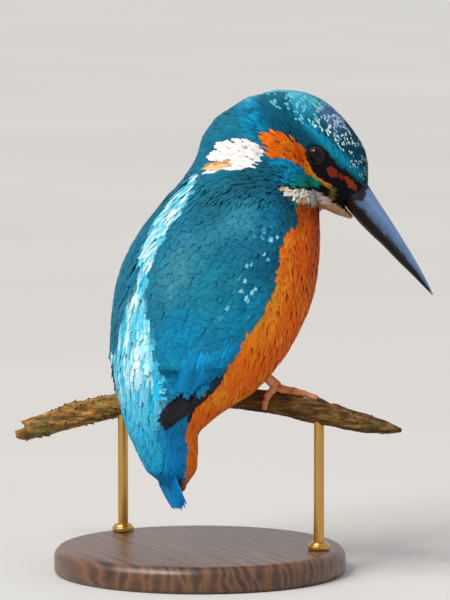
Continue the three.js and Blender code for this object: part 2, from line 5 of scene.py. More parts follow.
import bmesh
import bpy
import numpy as np
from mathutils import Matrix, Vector, noise
from mathutils.bvhtree import BVHTree


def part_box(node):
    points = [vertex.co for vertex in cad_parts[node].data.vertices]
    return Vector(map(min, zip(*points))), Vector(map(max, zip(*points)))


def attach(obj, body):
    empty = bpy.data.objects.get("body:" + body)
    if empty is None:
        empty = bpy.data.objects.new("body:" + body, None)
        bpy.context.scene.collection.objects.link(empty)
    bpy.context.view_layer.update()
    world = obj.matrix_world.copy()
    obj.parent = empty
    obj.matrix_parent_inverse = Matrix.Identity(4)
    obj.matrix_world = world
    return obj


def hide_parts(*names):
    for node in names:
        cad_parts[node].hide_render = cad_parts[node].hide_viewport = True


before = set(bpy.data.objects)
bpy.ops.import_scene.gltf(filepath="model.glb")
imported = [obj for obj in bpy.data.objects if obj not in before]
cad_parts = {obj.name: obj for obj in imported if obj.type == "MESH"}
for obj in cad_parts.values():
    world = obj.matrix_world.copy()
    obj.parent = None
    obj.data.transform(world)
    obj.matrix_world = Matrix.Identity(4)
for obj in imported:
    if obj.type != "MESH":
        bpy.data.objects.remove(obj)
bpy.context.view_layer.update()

MM = 0.001  # sizes below are in millimetres, and meshes are in metres


# ---------------------------------------------------------------------------- Display base
# The base is a turned disc of walnut, sanded and oiled, with its top edge rounded over. The rods
# stand in blind holes in it.
def linear(code):
    """A linear colour with alpha from an sRGB hex code."""
    parts = [int(code[i : i + 2], 16) / 255 for i in (1, 3, 5)]
    return [c / 12.92 if c <= 0.04045 else ((c + 0.055) / 1.055) ** 2.4 for c in parts] + [1.0]


def feed(tree, node, inputs):
    """Sets a node's inputs: each is a value, a socket, or a node that stands for its main output."""
    for name, value in inputs.items():
        if isinstance(value, bpy.types.Node):
            value = value.outputs.get("Fac") or next(s for s in value.outputs if s.enabled)
        if isinstance(value, bpy.types.NodeSocket):
            tree.links.new(value, node.inputs[name])
        else:
            node.inputs[name].default_value = value


def put(tree, kind, inputs=None, stops=(), **settings):
    """Adds a node with its settings and inputs; stops are a colour ramp's places and hex codes."""
    made = tree.nodes.new(kind if "Node" in kind else "ShaderNode" + kind)
    for name, value in settings.items():
        setattr(made, name, value)
    for i, (at, code) in enumerate(stops):
        element = made.color_ramp.elements[i] if i < 2 else made.color_ramp.elements.new(1.0)
        element.position, element.color = at, linear(code)
    feed(tree, made, inputs or {})
    return made


def new_material(name, inputs):
    """A material with its shader's own sockets set; also its tree, its shader and its object's place."""
    material = bpy.data.materials.new(name)
    material.use_nodes = True
    tree = material.node_tree
    shader = tree.nodes["Principled BSDF"]
    feed(tree, shader, inputs)
    return material, tree, shader, put(tree, "TexCoord").outputs["Object"]


def shown(name, data):
    """An object of the scene with this mesh, light or camera."""
    made = bpy.data.objects.new(name, data)
    bpy.context.scene.collection.objects.link(made)
    return made


def make_mesh(name, points, faces, material, smooth=True):
    """An object at the origin from points in millimetres; doubles are merged and faces point out."""
    data = bpy.data.meshes.new(name)
    data.from_pydata((np.asarray(points) * MM).tolist(), [], [list(f) for f in faces])
    shape = bmesh.new()
    shape.from_mesh(data)
    bmesh.ops.remove_doubles(shape, verts=shape.verts, dist=1e-7)
    bmesh.ops.recalc_face_normals(shape, faces=shape.faces)
    shape.to_mesh(data)
    shape.free()
    data.polygons.foreach_set("use_smooth", [smooth] * len(data.polygons))
    data.materials.append(material)
    return shown(name, data)


def wall(count, sides, closed=False):
    """Faces between rings of points; closed joins the last ring to the first."""
    return [(i * sides + j, i * sides + (j + 1) % sides, (i + 1) % count * sides + (j + 1) % sides,
            (i + 1) % count * sides + j) for i in range(count if closed else count - 1)
        for j in range(sides)]


def loft(rings):
    """Points and faces of a closed skin through rings of equal length, with a fan at each end."""
    rings = np.asarray(rings, float)
    count, sides = rings.shape[:2]
    points = [*rings.reshape(-1, 3), rings[0].mean(0), rings[-1].mean(0)]
    faces = []
    for j in range(sides):
        k = (j + 1) % sides
        faces.append((count * sides, k, j))
        faces.append((count * sides + 1, (count - 1) * sides + j, (count - 1) * sides + k))
        faces += [(i * sides + j, i * sides + k, (i + 1) * sides + k, (i + 1) * sides + j)
            for i in range(count - 1)]
    return points, faces


def turned(name, profile, middle, sides, material, pierced=False):
    """A piece turned about an upright line: profile is its (radius, height) corners from below."""
    turns = [2 * math.pi * j / sides for j in range(sides)]
    rings = [[(middle[0] + r * math.cos(a), middle[1] + r * math.sin(a), z) for a in turns] for r,
        z in profile]
    points, faces = (sum(rings, []), wall(len(rings), sides)) if pierced else loft(rings)
    return make_mesh(name, points, faces, material)


def rounded(corners, radius, steps=5):
    """A profile with each inner corner cut back by a small arc."""
    made = [corners[0]]
    for before, corner, after in zip(corners, corners[1:], corners[2:]):
        c = np.array(corner, float)
        way_in = np.array(before, float) - c
        way_out = np.array(after, float) - c
        reach = min(radius, np.linalg.norm(way_in) * 0.45, np.linalg.norm(way_out) * 0.45)
        a = c + way_in / np.linalg.norm(way_in) * reach
        b = c + way_out / np.linalg.norm(way_out) * reach
        for i in range(steps + 1):
            k = i / steps
            made.append(tuple((1 - k) ** 2 * a + 2 * k * (1 - k) * c + k * k * b))
    return [*made, corners[-1]]


def place(piece, slot, *nodes):
    """The model is still, so each piece rides on its one body; nodes are the ones it stands for."""
    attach(piece, "root")
    if nodes:
        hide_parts(*nodes)
    return piece


def box_mm(node):
    """A CAD node's lowest and highest corners in millimetres."""
    return [np.array(corner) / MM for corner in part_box(node)]


# Oiled walnut: brown heartwood with darker late wood about 4 mm apart and fine open pores. The oil
# leaves a soft satin gloss.
walnut, tree, shader, place_in = new_material("oiled walnut",
    {"Roughness": 0.38, "Coat Weight": 0.25, "Coat Roughness": 0.3, "IOR": 1.5})
along_grain = put(tree, "Mapping", {"Vector": place_in, "Scale": (1.0, 7.0, 7.0), "Rotation": (0, 0, 0.5)})
sway = put(tree, "TexNoise", {"Vector": along_grain, "Scale": 18.0, "Detail": 4.0, "Distortion": 0.6})
year_rings = {"Vector": along_grain, "Scale": 11.0, "Distortion": 5.0, "Detail": 2.0, "Detail Scale": 1.2}
year_rings = put(tree, "TexWave", year_rings, bands_direction="Y")
pores = put(tree, "TexNoise", {"Vector": along_grain, "Scale": 260.0, "Detail": 2.0})
grain = put(tree, "Math", {0: year_rings, 1: 0.45, 2: sway}, operation="MULTIPLY_ADD")
walnut_tones = [(0.3, "#2c190f"), (0.55, "#4f311d"), (0.8, "#6d4629"), (1.0, "#3a2314")]
toned = put(tree, "ValToRGB", {"Fac": grain}, walnut_tones)
relief = put(tree, "Bump", {"Height": pores, "Distance": 0.05 * MM})
feed(tree, shader, {"Base Color": toned, "Normal": relief})

low, high = box_mm("stand_base")
base_radius, top = (high[0] - low[0]) / 2, high[2]
base_corners = [(0, 0), (base_radius - 0.8, 0), (base_radius, 0.8), (base_radius, top - 1.8),
    (base_radius - 1.6, top), (0, top)]
stand_base = turned("stand_base_disc", rounded(base_corners, 1.2), (0, 0), 160, walnut)
place(stand_base, "base_wood", "stand_base")


# ---------------------------------------------------------------------------- Rods and collars
# Two brass rods carry the branch. Each passes through a small turned collar that hides its hole in
# the base, and ends in a blind hole in the branch.

# Drawn brass, polished and lacquered: a warm even metal with faint turning lines.
brass, tree, shader, place_in = new_material("lacquered brass",
    {"Base Color": linear("#c79a4b"), "Metallic": 1.0, "Coat Weight": 0.3})
turning = put(tree, "TexNoise", {"Vector": place_in, "Scale": 900.0, "Detail": 2.0})
dulled = put(tree, "MapRange", {"Value": turning, "To Min": 0.22, "To Max": 0.36})
feed(tree, shader, {"Roughness": dulled})

for number in (1, 2):
    low, high = box_mm(f"stand_rod_{number}")
    middle, radius = (low + high) / 2, (high[0] - low[0]) / 2
    rod_corners = [(0, low[2]), (radius, low[2]), (radius, high[2]), (0, high[2])]
    rod = turned(f"stand_rod_{number}_brass", rounded(rod_corners, 0.3), middle, 48, brass)
    place(rod, "stand_brass", f"stand_rod_{number}")
    low, high = box_mm(f"stand_collar_{number}")
    outer, hole = (high[0] - low[0]) / 2, radius + 0.15
    collar_corners = [(hole, low[2]), (outer, low[2]), (outer, low[2] + 1.1),
        (outer - 0.35, low[2] + 1.3), (radius + 0.9, high[2]), (hole, high[2]), (hole, low[2])]
    collar = turned(f"stand_collar_{number}_brass", rounded(collar_corners, 0.2), middle, 64, brass,
        pierced=True)
    place(collar, "stand_brass", f"stand_collar_{number}")


# ---------------------------------------------------------------------------- Perch
# The perch is a cut length of a dead hawthorn branch: dry ridged bark with a few knots, broken into
# two splinters at its thick end and torn off slantwise at its thin one.
PERCH_MIDDLE = (0.0, -13.0)
PERCH_SWING = math.radians(28)
# distance along the branch towards the bird's right, height and radius
PERCH_COURSE = [(-75, 34.6, 2.9), (-65, 38.0, 3.6), (-47, 43.6, 3.7), (-26, 47.6, 3.4), (0, 49.4, 3.2),
    (12.6, 49.0, 3.2), (26, 47.2, 3.3), (40, 45.4, 3.0), (49.4, 44.4, 1.8), (54, 44.0, 0.7)]
branch_way = np.array([-math.cos(PERCH_SWING), -math.sin(PERCH_SWING), 0.0])
branch_front = np.cross((0, 0, 1), branch_way)


def smooth_along(stations, column, t):
    """A table's column at t, on a smooth curve through its stations that never overshoots."""
    table = np.asarray(stations, float)
    x, y = table[:, 0], table[:, column]
    t = np.clip(np.asarray(t, float), x[0], x[-1])
    step = np.diff(x)
    slope = np.diff(y) / step
    product = slope[:-1] * slope[1:]
    total = np.where(slope[:-1] + slope[1:] == 0, 1, slope[:-1] + slope[1:])
    tangent = np.concatenate([slope[:1], np.where(product > 0, 2 * product / total, 0), slope[-1:]])
    i = np.clip(np.searchsorted(x, t, side="right") - 1, 0, len(step) - 1)
    u = (t - x[i]) / step[i]
    rise = y[i + 1] - y[i]
    m0, m1 = tangent[i] * step[i], tangent[i + 1] * step[i]
    return y[i] + m0 * u + (3 * rise - 2 * m0 - m1) * u**2 + (m0 + m1 - 2 * rise) * u**3


def branch_middle(t):
    """Points on the branch's middle line at distances t along it."""
    t = np.atleast_1d(np.asarray(t, float))
    flat = np.array(PERCH_MIDDLE) + t[:, None] * branch_way[:2]
    return np.column_stack([flat, smooth_along(PERCH_COURSE, 1, t)])


def on_branch(t, turn, off):
    """Points off the bark: degrees round from its top towards the bird's front, and millimetres off."""
    reach = smooth_along(PERCH_COURSE, 2, t) + off
    angle = np.radians(np.atleast_1d(turn))[:, None]
    way = np.cos(angle) * np.array([0, 0, 1.0]) + np.sin(angle) * branch_front
    return branch_middle(t) + np.atleast_1d(reach)[:, None] * way


# knots: distance along, degrees round, height and spread
KNOTS = [(-58, 35, 1.0, 3.2), (-31, 150, 0.8, 2.6), (33, -40, 0.9, 2.8), (21, 120, 0.6, 2.2),
    (-69, -70, 0.7, 2.4)]
RINGS_ALONG = 300
ROUND = 56
BARK_RIDGE, BARK_CRACK, SPLINTER_LONG = 0.5, 0.22, 9.0
stations = np.linspace(PERCH_COURSE[0][0], PERCH_COURSE[-1][0], RINGS_ALONG)
angles = 360 * np.arange(ROUND) / ROUND
cosines, sines = np.cos(np.radians(angles)), np.sin(np.radians(angles))
rings = []
for t in stations:
    ridge = np.array([noise.noise((t / 15, 1.7 * x, 1.7 * y + 4)) for x, y in zip(cosines, sines)])
    crack = [noise.fractal((t / 5, 3.4 * x, 3.4 * y), 0.7, 2.2, 4) for x, y in zip(cosines, sines)]
    knot = 0
    for knot_at, knot_turn, tall, spread in KNOTS:
        aside = np.abs((angles - knot_turn + 180) % 360 - 180) / 17
        knot = knot + tall * np.exp(-((t - knot_at) ** 2 + aside**2) / spread**2)
    slender = min(1.0, smooth_along(PERCH_COURSE, 2, t) / 3)
    relief = slender * (BARK_RIDGE * ridge + BARK_CRACK * np.array(crack)) + knot - 0.1
    ring = on_branch(np.full(ROUND, t), angles, relief)
    from_end = (t - stations[0]) / SPLINTER_LONG
    if from_end < 1:
        splinter = np.cos(np.radians(3 * angles - 60)) * 1.5 + np.sin(np.radians(8 * angles)) * 0.5
        ring = ring - ((1 - from_end) ** 2 * splinter)[:, None] * branch_way
    rings.append(ring)
points, faces = loft(rings)
points[-2] = points[-2] + branch_way * 2.6

# Dead bark: ochre and umber in streaks along the branch, olive with algae in places, and quite rough.
# Its colour is also darkened towards its thin end as painted shade.
bark, tree, shader, place_in = new_material("dry bark", {"Roughness": 0.85, "Specular IOR Level": 0.3})
BARK_STRETCH = 4.5  # how much longer its streaks are than wide
lengthwise = put(tree, "Mapping",
    {"Vector": place_in, "Rotation": (0, 0, PERCH_SWING), "Scale": (BARK_STRETCH, 1.0, 1.0)},
    vector_type="TEXTURE")
streaks = put(tree, "TexNoise", {"Vector": lengthwise, "Scale": 800.0, "Detail": 6.0, "Roughness": 0.65})
patches = put(tree, "TexNoise", {"Vector": place_in, "Scale": 95.0, "Detail": 3.0, "Distortion": 0.8})
fibres = put(tree, "TexNoise", {"Vector": lengthwise, "Scale": 3000.0, "Detail": 3.0})
dry_tones = [(0.3, "#2f200c"), (0.44, "#5c3f18"), (0.56, "#86602a"), (0.72, "#c2934f")]
mossy_tones = [(0.3, "#2c2a10"), (0.5, "#5a5420"), (0.75, "#8a7a38")]
weathered = put(tree, "Mix",
    {"Factor": put(tree, "MapRange", {"Value": patches, "From Min": 0.56, "From Max": 0.72}),
        "A": put(tree, "ValToRGB", {"Fac": streaks}, dry_tones),
        "B": put(tree, "ValToRGB", {"Fac": streaks}, mossy_tones)}, data_type="RGBA")
# painted shade: the bark's colour is multiplied by 0.5 to 1.15 along the branch, darker towards its thin
# end
bark_painted_shade = put(tree, "MapRange",
    {"Value": put(tree, "SeparateXYZ", {"Vector": lengthwise}).outputs["X"],
        "From Min": -28 * MM / BARK_STRETCH, "From Max": 40 * MM / BARK_STRETCH, "To Min": 0.5,
        "To Max": 1.15})
barked = put(tree, "Mix", {"Factor": 1.0, "A": weathered, "B": bark_painted_shade}, data_type="RGBA",
    blend_type="MULTIPLY")
rough = put(tree, "Math", {0: fibres, 1: 0.35, 2: streaks}, operation="MULTIPLY_ADD")
relief = put(tree, "Bump", {"Height": rough, "Distance": 0.35 * MM})
feed(tree, shader, {"Base Color": barked, "Normal": relief})
branch = make_mesh("branch_bark", points, faces, bark)


def repeating_tree(name, *more):
    """A Geometry Nodes tree that repeats a piece: its inputs are named, and more are (name, kind)."""
    tree = bpy.data.node_groups.new(name, "GeometryNodeTree")
    for label, kind in (("Geometry", "Geometry"), ("Piece", "Object"), ("Spacing", "Float"),
            ("Finish", "Material"), *more):
        tree.interface.new_socket(label, in_out="INPUT", socket_type="NodeSocket" + kind)
    tree.interface.new_socket("Geometry", in_out="OUTPUT", socket_type="NodeSocketGeometry")
    return tree, put(tree, "NodeGroupInput").outputs


def set_on(tree, given, points, turn, size):
    """Ends a tree: its piece stands on points, is made real and gets its finish."""
    one = put(tree, "GeometryNodeObjectInfo", {"Object": given["Piece"]}).outputs["Geometry"]
    each = {"Points": points, "Instance": one, "Rotation": turn, "Scale": size}
    real = put(tree, "GeometryNodeRealizeInstances",
        {"Geometry": put(tree, "GeometryNodeInstanceOnPoints", each)})
    finished = put(tree, "GeometryNodeSetMaterial", {"Geometry": real, "Material": given["Finish"]})
    feed(tree, put(tree, "NodeGroupOutput"), {"Geometry": finished})


def evaluated(source):
    """A plain mesh of what an object's modifiers make of it."""
    return bpy.data.meshes.new_from_object(source.evaluated_get(bpy.context.evaluated_depsgraph_get()))


def run_tree(tree, source, name, values):
    """An object with the plain mesh that a Geometry Nodes tree makes from another object."""
    modifier = source.modifiers.new("made", "NODES")
    modifier.node_group = tree
    for item in tree.interface.items_tree:
        if item.in_out == "INPUT" and item.name in values:
            modifier[item.identifier] = values[item.name]
    data = evaluated(source)
    source.modifiers.remove(modifier)
    return shown(name, data)


def join(name, objects):
    """One object from several that wear the same material; the several are removed."""
    shape = bmesh.new()
    for one in objects:
        shape.from_mesh(one.data)
    data = bpy.data.meshes.new(name)
    shape.to_mesh(data)
    shape.free()
    data.materials.append(objects[0].data.materials[0])
    for one in objects:
        bpy.data.objects.remove(one)
    return shown(name, data)


def column(items, field, width, kind=np.int32):
    """A field of a mesh's points, edges or corners, as rows of width numbers."""
    found = np.empty(len(items) * width, kind)
    items.foreach_get(field, found)
    return found.reshape(-1, width)


def points_of(data):
    """A mesh's points in millimetres."""
    return column(data.vertices, "co", 3, float) / MM


def mark(data, name, values):
    """A named number or direction for each point of a mesh."""
    kind, field = ("FLOAT", "value") if np.ndim(values) == 1 else ("FLOAT_VECTOR", "vector")
    data.attributes.new(name, kind, "POINT").data.foreach_set(field, np.ravel(values))


# A flake of bark is a thin warped plate, lifted at one end. The tree scatters them where the bark is
# flaky and turns each one along the branch.
FLAKE_LONG, FLAKE_WIDE, FLAKE_THICK, FLAKE_APART = 2.4, 0.9, 0.14, 1.1
outline_in = []
for layer in (0, 1):
    for x in (-1, -0.4, 0.3, 1):
        taper = 1 - 0.45 * abs(x) ** 3
        for y in (-1, 0, 1):
            lift = 0.22 * (x + 0.4) ** 2 * (x > -0.4) - 0.1 * y * y - layer * FLAKE_THICK
            outline_in.append((x * FLAKE_LONG / 2, y * taper * FLAKE_WIDE / 2, lift))
flake_faces = []
for i in range(3):
    for j in range(2):
        a = i * 3 + j
        flake_faces += [(a, a + 3, a + 4, a + 1), (a + 12, a + 13, a + 16, a + 15)]
border = [0, 3, 6, 9, 10, 11, 8, 5, 2, 1]
flake_faces += [(a + 12, b + 12, b, a) for a, b in zip(border, border[1:] + border[:1])]
flake = make_mesh("flake", outline_in, flake_faces, bark)

tree, given = repeating_tree("bark_flakes", ("Along", "Vector"))
flaky = put(tree, "GeometryNodeInputNamedAttribute", {"Name": "flaky"}, data_type="FLOAT")
spots = put(tree, "GeometryNodeDistributePointsOnFaces",
    {"Mesh": given["Geometry"], "Distance Min": given["Spacing"], "Density Max": 900000.0,
        "Density Factor": flaky, "Seed": 4}, distribute_method="POISSON")
facing = put(tree, "FunctionNodeAlignRotationToVector",
    {"Rotation": spots.outputs["Rotation"], "Vector": given["Along"]}, axis="X", pivot_axis="Z")
size = put(tree, "FunctionNodeRandomValue",
    {"Min": (0.45, 0.5, 0.8), "Max": (1.2, 1.2, 1.5), "Seed": 7}, data_type="FLOAT_VECTOR")
set_on(tree, given, spots, facing, size)

where = points_of(branch.data)
along_it = (where[:, :2] - PERCH_MIDDLE) @ branch_way[:2]
under_bird = np.clip((np.abs(along_it - 2) - 20) / 8, 0, 1)
patchy = np.array([noise.noise((a / 9, p[2] / 4, p[1] / 6)) for a, p in zip(along_it, where)])
flakiness = under_bird * np.clip(0.25 + 2.0 * patchy, 0, 1) * (along_it > -72) * (along_it < 48)
mark(branch.data, "flaky", flakiness)
flakes = run_tree(tree, branch, "flakes",
    {"Piece": flake, "Spacing": FLAKE_APART * MM, "Along": tuple(branch_way), "Finish": bark})
bpy.data.objects.remove(flake)
place(join("branch_bark", [branch, flakes]), "bark", "branch")


# ---------------------------------------------------------------------------- Feet
# Bare skin over tendons, salmon red. The shin is very short, three toes go forward round the bark
# and one back, and the two outer ones of the three are joined at their base.

# for each toe: along the branch and degrees round it, from its root to its tip, and its radius
FEET = {
    "right": {
        "at": 13, "heel": (-10.8, -11.4, 60.4), "toes": {
            "inner": ((-2.2, 1.2), (14, 118), 1.0), "middle": ((0.4, 8.2), (8, 92), 1.15),
            "outer": ((2.6, 12.0), (-14, 38), 1.15), "hind": ((-0.6, -1.8), (-38, -108), 1.1)}},
    "left": {
        "at": -9, "heel": (8.4, -1.6, 60.4), "toes": {
            "inner": ((2.2, 7.0), (10, 96), 1.0), "middle": ((0.0, 4.8), (12, 116), 1.15),
            "outer": ((-2.3, 1.2), (12, 108), 1.1), "hind": ((0.4, -2.6), (-38, -112), 1.1)}}}
TOE_TIP = 0.72  # thickness of a toe's end, of its root's
SHIN = (1.6, 1.35, 1.6)  # radius at the heel, half way and at the foot
SCUTE_SPACING = 0.62
FOOT_CELL = 0.2  # between the points of a foot's skin


def tube(points, radii, sides, flat=1.0):
    """Points and faces of a closed tube along points; flat is its breadth over its depth."""
    points = np.asarray(points, float)
    tangents = np.gradient(points, axis=0)
    tangents /= np.linalg.norm(tangents, axis=1)[:, None]
    normal = np.array([0, 0, 1.0]) if abs(tangents[0][2]) < 0.9 else np.array([1.0, 0, 0])
    turns = np.linspace(0, 2 * math.pi, sides, endpoint=False)[:, None]
    rings = []
    for point, tangent, radius in zip(points, tangents, radii):
        normal = normal - tangent * (normal @ tangent)
        normal /= np.linalg.norm(normal)
        side = np.cross(tangent, normal)
        rings.append(point + radius * (np.cos(turns) * normal + np.sin(turns) * side * flat))
    return loft(rings)


def toe_line(foot, toe, steps):
    """A toe's middle line, its radii and its upward ways, from root to tip."""
    along, turn, thick = toe
    k = np.linspace(0, 1, steps)
    joints = 0.10 * np.exp(-(((k[:, None] - np.array([0.3, 0.62, 0.92])) / 0.07) ** 2)).sum(1)
    radii = thick * (1 + (TOE_TIP - 1) * k) * (0.95 + joints)
    t = foot["at"] + along[0] + (along[1] - along[0]) * k
    turns = turn[0] + (turn[1] - turn[0]) * k
    line = on_branch(t, turns, radii + 0.08)
    return line, radii, line - branch_middle(t)


def remeshed(name, parts, voxel_mm, material):
    """One closed mesh over several that meet or overlap, from cells of voxel_mm."""
    points, faces = [], []
    for more, sides in parts:
        faces += [[i + len(points) for i in face] for face in sides if len(set(face)) > 2]
        points += list(more)
    source = make_mesh(name, points, faces, material)
    cells = source.modifiers.new("cells", "REMESH")
    cells.mode, cells.voxel_size, cells.use_smooth_shade = "VOXEL", voxel_mm * MM, True
    merged = evaluated(source)
    bpy.data.objects.remove(source)
    return merged


def smoothed(points, edges, rounds, amount=0.5, back=-0.52):
    """Points pulled towards their neighbours and back, so that ripples go and the size stays."""
    ends, others = np.concatenate([edges, edges[:, ::-1]]).T
    count = np.maximum(np.bincount(ends, minlength=len(points)), 1)[:, None]
    for _ in range(rounds):
        for pull in (amount, back):
            total = np.column_stack([np.bincount(ends, axis[others], len(points)) for axis in points.T])
            points = points + pull * (total / count - points)
    return points


# Scaled bird skin: salmon with darker red between the plates and a slight moist gloss.
foot_skin, tree, shader, place_in = new_material("scaled foot skin",
    {"Roughness": 0.45, "Subsurface Weight": 0.15, "Subsurface Scale": 0.6 * MM,
        "IOR": 1.4, "Subsurface Radius": (1.0, 0.4, 0.25)})
mottle = put(tree, "TexNoise", {"Vector": place_in, "Scale": 420.0, "Detail": 4.0})
grain = put(tree, "TexVoronoi", {"Vector": place_in, "Scale": 2600.0})
salmon = put(tree, "ValToRGB", {"Fac": mottle}, [(0.3, "#a5562f"), (0.5, "#cd7f50"), (0.7, "#e0a074")])
relief = put(tree, "Bump", {"Height": grain, "Distance": 0.05 * MM})
feed(tree, shader, {"Base Color": salmon, "Normal": relief})

# A scute is a horny half ring over a toe's back, its outer edge lapped over the next one.
SCUTE_SECTION = [(-0.42, 0.95), (-0.34, 1.05), (0.3, 1.12), (0.42, 0.98)]
scute_turns = np.radians(np.linspace(-78, 78, 9))
points = [(x, r * math.sin(a), r * math.cos(a)) for a in scute_turns for x, r in SCUTE_SECTION]
scute = make_mesh("scute", points, [*wall(9, 4), (0, 1, 2, 3), (35, 34, 33, 32)], foot_skin)

scute_rows, given = repeating_tree("scute_rows")
line = put(scute_rows, "GeometryNodeMeshToCurve", {"Mesh": given["Geometry"]})
even = put(scute_rows, "GeometryNodeResampleCurve", {"Curve": line, "Length": given["Spacing"]},
    mode="LENGTH")
out_way = put(scute_rows, "GeometryNodeInputNamedAttribute", {"Name": "out"}, data_type="FLOAT_VECTOR")
girth = put(scute_rows, "GeometryNodeInputNamedAttribute", {"Name": "girth"}, data_type="FLOAT")
upright = put(scute_rows, "FunctionNodeAlignRotationToVector", {"Vector": out_way}, axis="Z",
    pivot_axis="AUTO")
forward = {"Rotation": upright, "Vector": put(scute_rows, "GeometryNodeInputTangent")}
forward = put(scute_rows, "FunctionNodeAlignRotationToVector", forward, axis="X", pivot_axis="Z")
set_on(scute_rows, given, even, forward, girth)

for side, foot in FEET.items():
    heel = np.array(foot["heel"])
    ankle = on_branch(foot["at"], 0, 1.5)[0]
    shin_line = heel + (ankle - heel) * np.linspace(0, 1, 9)[:, None]
    shin_radii = np.interp(np.linspace(0, 2, 9), (0, 1, 2), SHIN)
    parts = [tube(shin_line, shin_radii, 16)]
    rows = [(shin_line[3:-1], shin_radii[3:-1] * 0.98, np.tile(branch_front, (5, 1)))]
    for name, toe in foot["toes"].items():
        line, radii, outward = toe_line(foot, toe, 26)
        root = ankle + (line[0] - ankle) * np.linspace(0, 0.9, 4)[:, None]
        parts.append(tube(np.concatenate([root, line]),
                np.concatenate([np.full(4, radii[0] * 1.05), radii]), 14))
        rows.append((line[1:-1], radii[1:-1] * 0.97, outward[1:-1]))
    skin_mesh = remeshed(f"foot_{side}_skin", parts, FOOT_CELL, foot_skin)
    moved = smoothed(points_of(skin_mesh), column(skin_mesh.edges, "vertices", 2), rounds=4)
    skin_mesh.vertices.foreach_set("co", (moved * MM).ravel())
    core = bpy.data.objects.new("core", skin_mesh)
    lines, radii, outs = (np.concatenate(several) for several in zip(*rows))
    starts = np.cumsum([len(row[0]) for row in rows])
    links = [(i, i + 1) for i in range(len(lines) - 1) if i + 1 not in starts]
    data = bpy.data.meshes.new("toe_lines")
    data.from_pydata((lines * MM).tolist(), links, [])
    mark(data, "out", outs / np.linalg.norm(outs, axis=1)[:, None])
    mark(data, "girth", radii)
    guide = shown("toe_lines", data)
    scutes = run_tree(scute_rows, guide, "scutes",
        {"Piece": scute, "Spacing": SCUTE_SPACING * MM, "Finish": foot_skin})
    bpy.data.objects.remove(guide)
    foot_piece = join(f"foot_{side}_skin", [core, scutes])
    place(foot_piece, "foot_skin", f"tarsus_{side}", *(f"toe_{side}_{name}" for name in foot["toes"]))
bpy.data.objects.remove(scute)


# ---------------------------------------------------------------------------- Claws
# Each toe ends in a curved horn claw with a sharp ridge along its back, grown over the toe's last
# bone. They are short, dark brown and paler at the root.
CLAW_CLEAR, CLAW_TURN, CLAW_THICK, CLAW_ARCH = 2, 36, 0.62, 0.25  # degrees round the bark, and mm

# Claw horn: dense dark keratin, smooth with a low gloss; light enters its thin tip a little.
claw_horn, tree, shader, place_in = new_material("claw horn",
    {"Roughness": 0.3, "IOR": 1.54, "Coat Weight": 0.2})
fibre = put(tree, "TexNoise", {"Vector": place_in, "Scale": 700.0, "Detail": 3.0})
browns = put(tree, "ValToRGB", {"Fac": fibre}, [(0.3, "#1f1712"), (0.55, "#3d2c22"), (0.8, "#6a4b38")])
relief = put(tree, "Bump", {"Height": fibre, "Distance": 0.04 * MM})
feed(tree, shader, {"Base Color": browns, "Normal": relief})

for side, foot in FEET.items():
    for name, (along, turn, thick) in foot["toes"].items():
        k = np.linspace(0, 1, 16)
        way = math.copysign(1, turn[1] - turn[0])
        drift = (along[1] - along[0]) / abs(turn[1] - turn[0]) * CLAW_TURN
        radii = CLAW_THICK * (1 - k**1.4 * 0.92)
        lift = CLAW_THICK + 0.12 + CLAW_ARCH * np.sin(math.pi * k) - (CLAW_THICK - radii) * k
        turns = turn[1] + way * (CLAW_CLEAR - 6 + (CLAW_TURN + 6) * k)
        line = on_branch(foot["at"] + along[1] + drift * k, turns, lift)
        claw = make_mesh(f"claw_{side}_{name}_horn", *tube(line, radii, 12, 0.8), claw_horn)
        place(claw, "claw_horn", f"claw_{side}_{name}")


# ---------------------------------------------------------------------------- Body skin
# One skin covers head, neck, body, thighs and folded wings, as on a mounted bird. It lies under the
# coat by the coat's depth, and shows only where feathers part, at the lids and round the bill.
FLESH = ["head", "neck", "trunk", "thigh_right", "thigh_left", "wing_right", "wing_left"]
GAP_HALF = 0.2  # how far each solid grows so that it meets its neighbours
SKIN_CELL = 0.75  # between the skin's points
BILL_BASE = np.array([-14.3, -43.6, 108.2])
HEADING, BILL_DOWN = math.radians(44), math.radians(51.3)
level_way = np.array([-math.sin(HEADING), -math.cos(HEADING), 0])
bill_way = level_way * math.cos(BILL_DOWN) - np.array([0, 0, math.sin(BILL_DOWN)])
crown_way = level_way * math.sin(BILL_DOWN) + np.array([0, 0, math.cos(BILL_DOWN)])
cheek_way = np.cross(bill_way, crown_way)  # the bird's right
HEAD_CUT = np.array([-16.2, -11.2, 122.0])
head_cut_way = bill_way * math.cos(math.radians(80)) + crown_way * math.sin(math.radians(80))
NECK_CUT = np.array([0.0, -10.0, 112.0])
neck_cut_way = np.array([0, -0.35, 1.0]) / math.hypot(0.35, 1)
EYE_BACK, EYE_ABOVE, EYE_ASIDE, EYE_RADIUS = 15.7, -0.1, 7.2, 3.8
EYE_OPEN = 2.15  # radius of the gap between the lids


def from_head(ahead, up, right):
    """Points from distances ahead of the bill's base, above it and to the bird's right."""
    ahead, up, right = (np.asarray(v, float)[..., None] for v in (ahead, up, right))
    return BILL_BASE + ahead * bill_way + up * crown_way + right * cheek_way


def in_head(points):
    """The distances ahead of the bill's base, above it and to the bird's right."""
    off = np.asarray(points) - BILL_BASE
    return off @ bill_way, off @ crown_way, off @ cheek_way


# the height, and the middle of the coat's section there, as the wings fold on it
BODY_MIDDLE = [(24.4, 7.8), (28, 8.7), (31, 9.7), (38.5, 11.3), (42, 12.4), (45.5, 10.5), (52.5, 4.7),
    (60, 1.3), (68, -1.6), (79, -4.9), (88, -7.0), (98, -10.2), (105, -13.3), (111, -14.5), (117, -15.5),
    (122, -18.0)]


def round_body(points):
    """Degrees round the body from the middle of the back, to the bird's right, and the height."""
    points = np.asarray(points)
    height = points[..., 2]
    middle = smooth_along(BODY_MIDDLE, 1, height)
    return np.degrees(np.arctan2(-points[..., 0], points[..., 1] - middle)), height


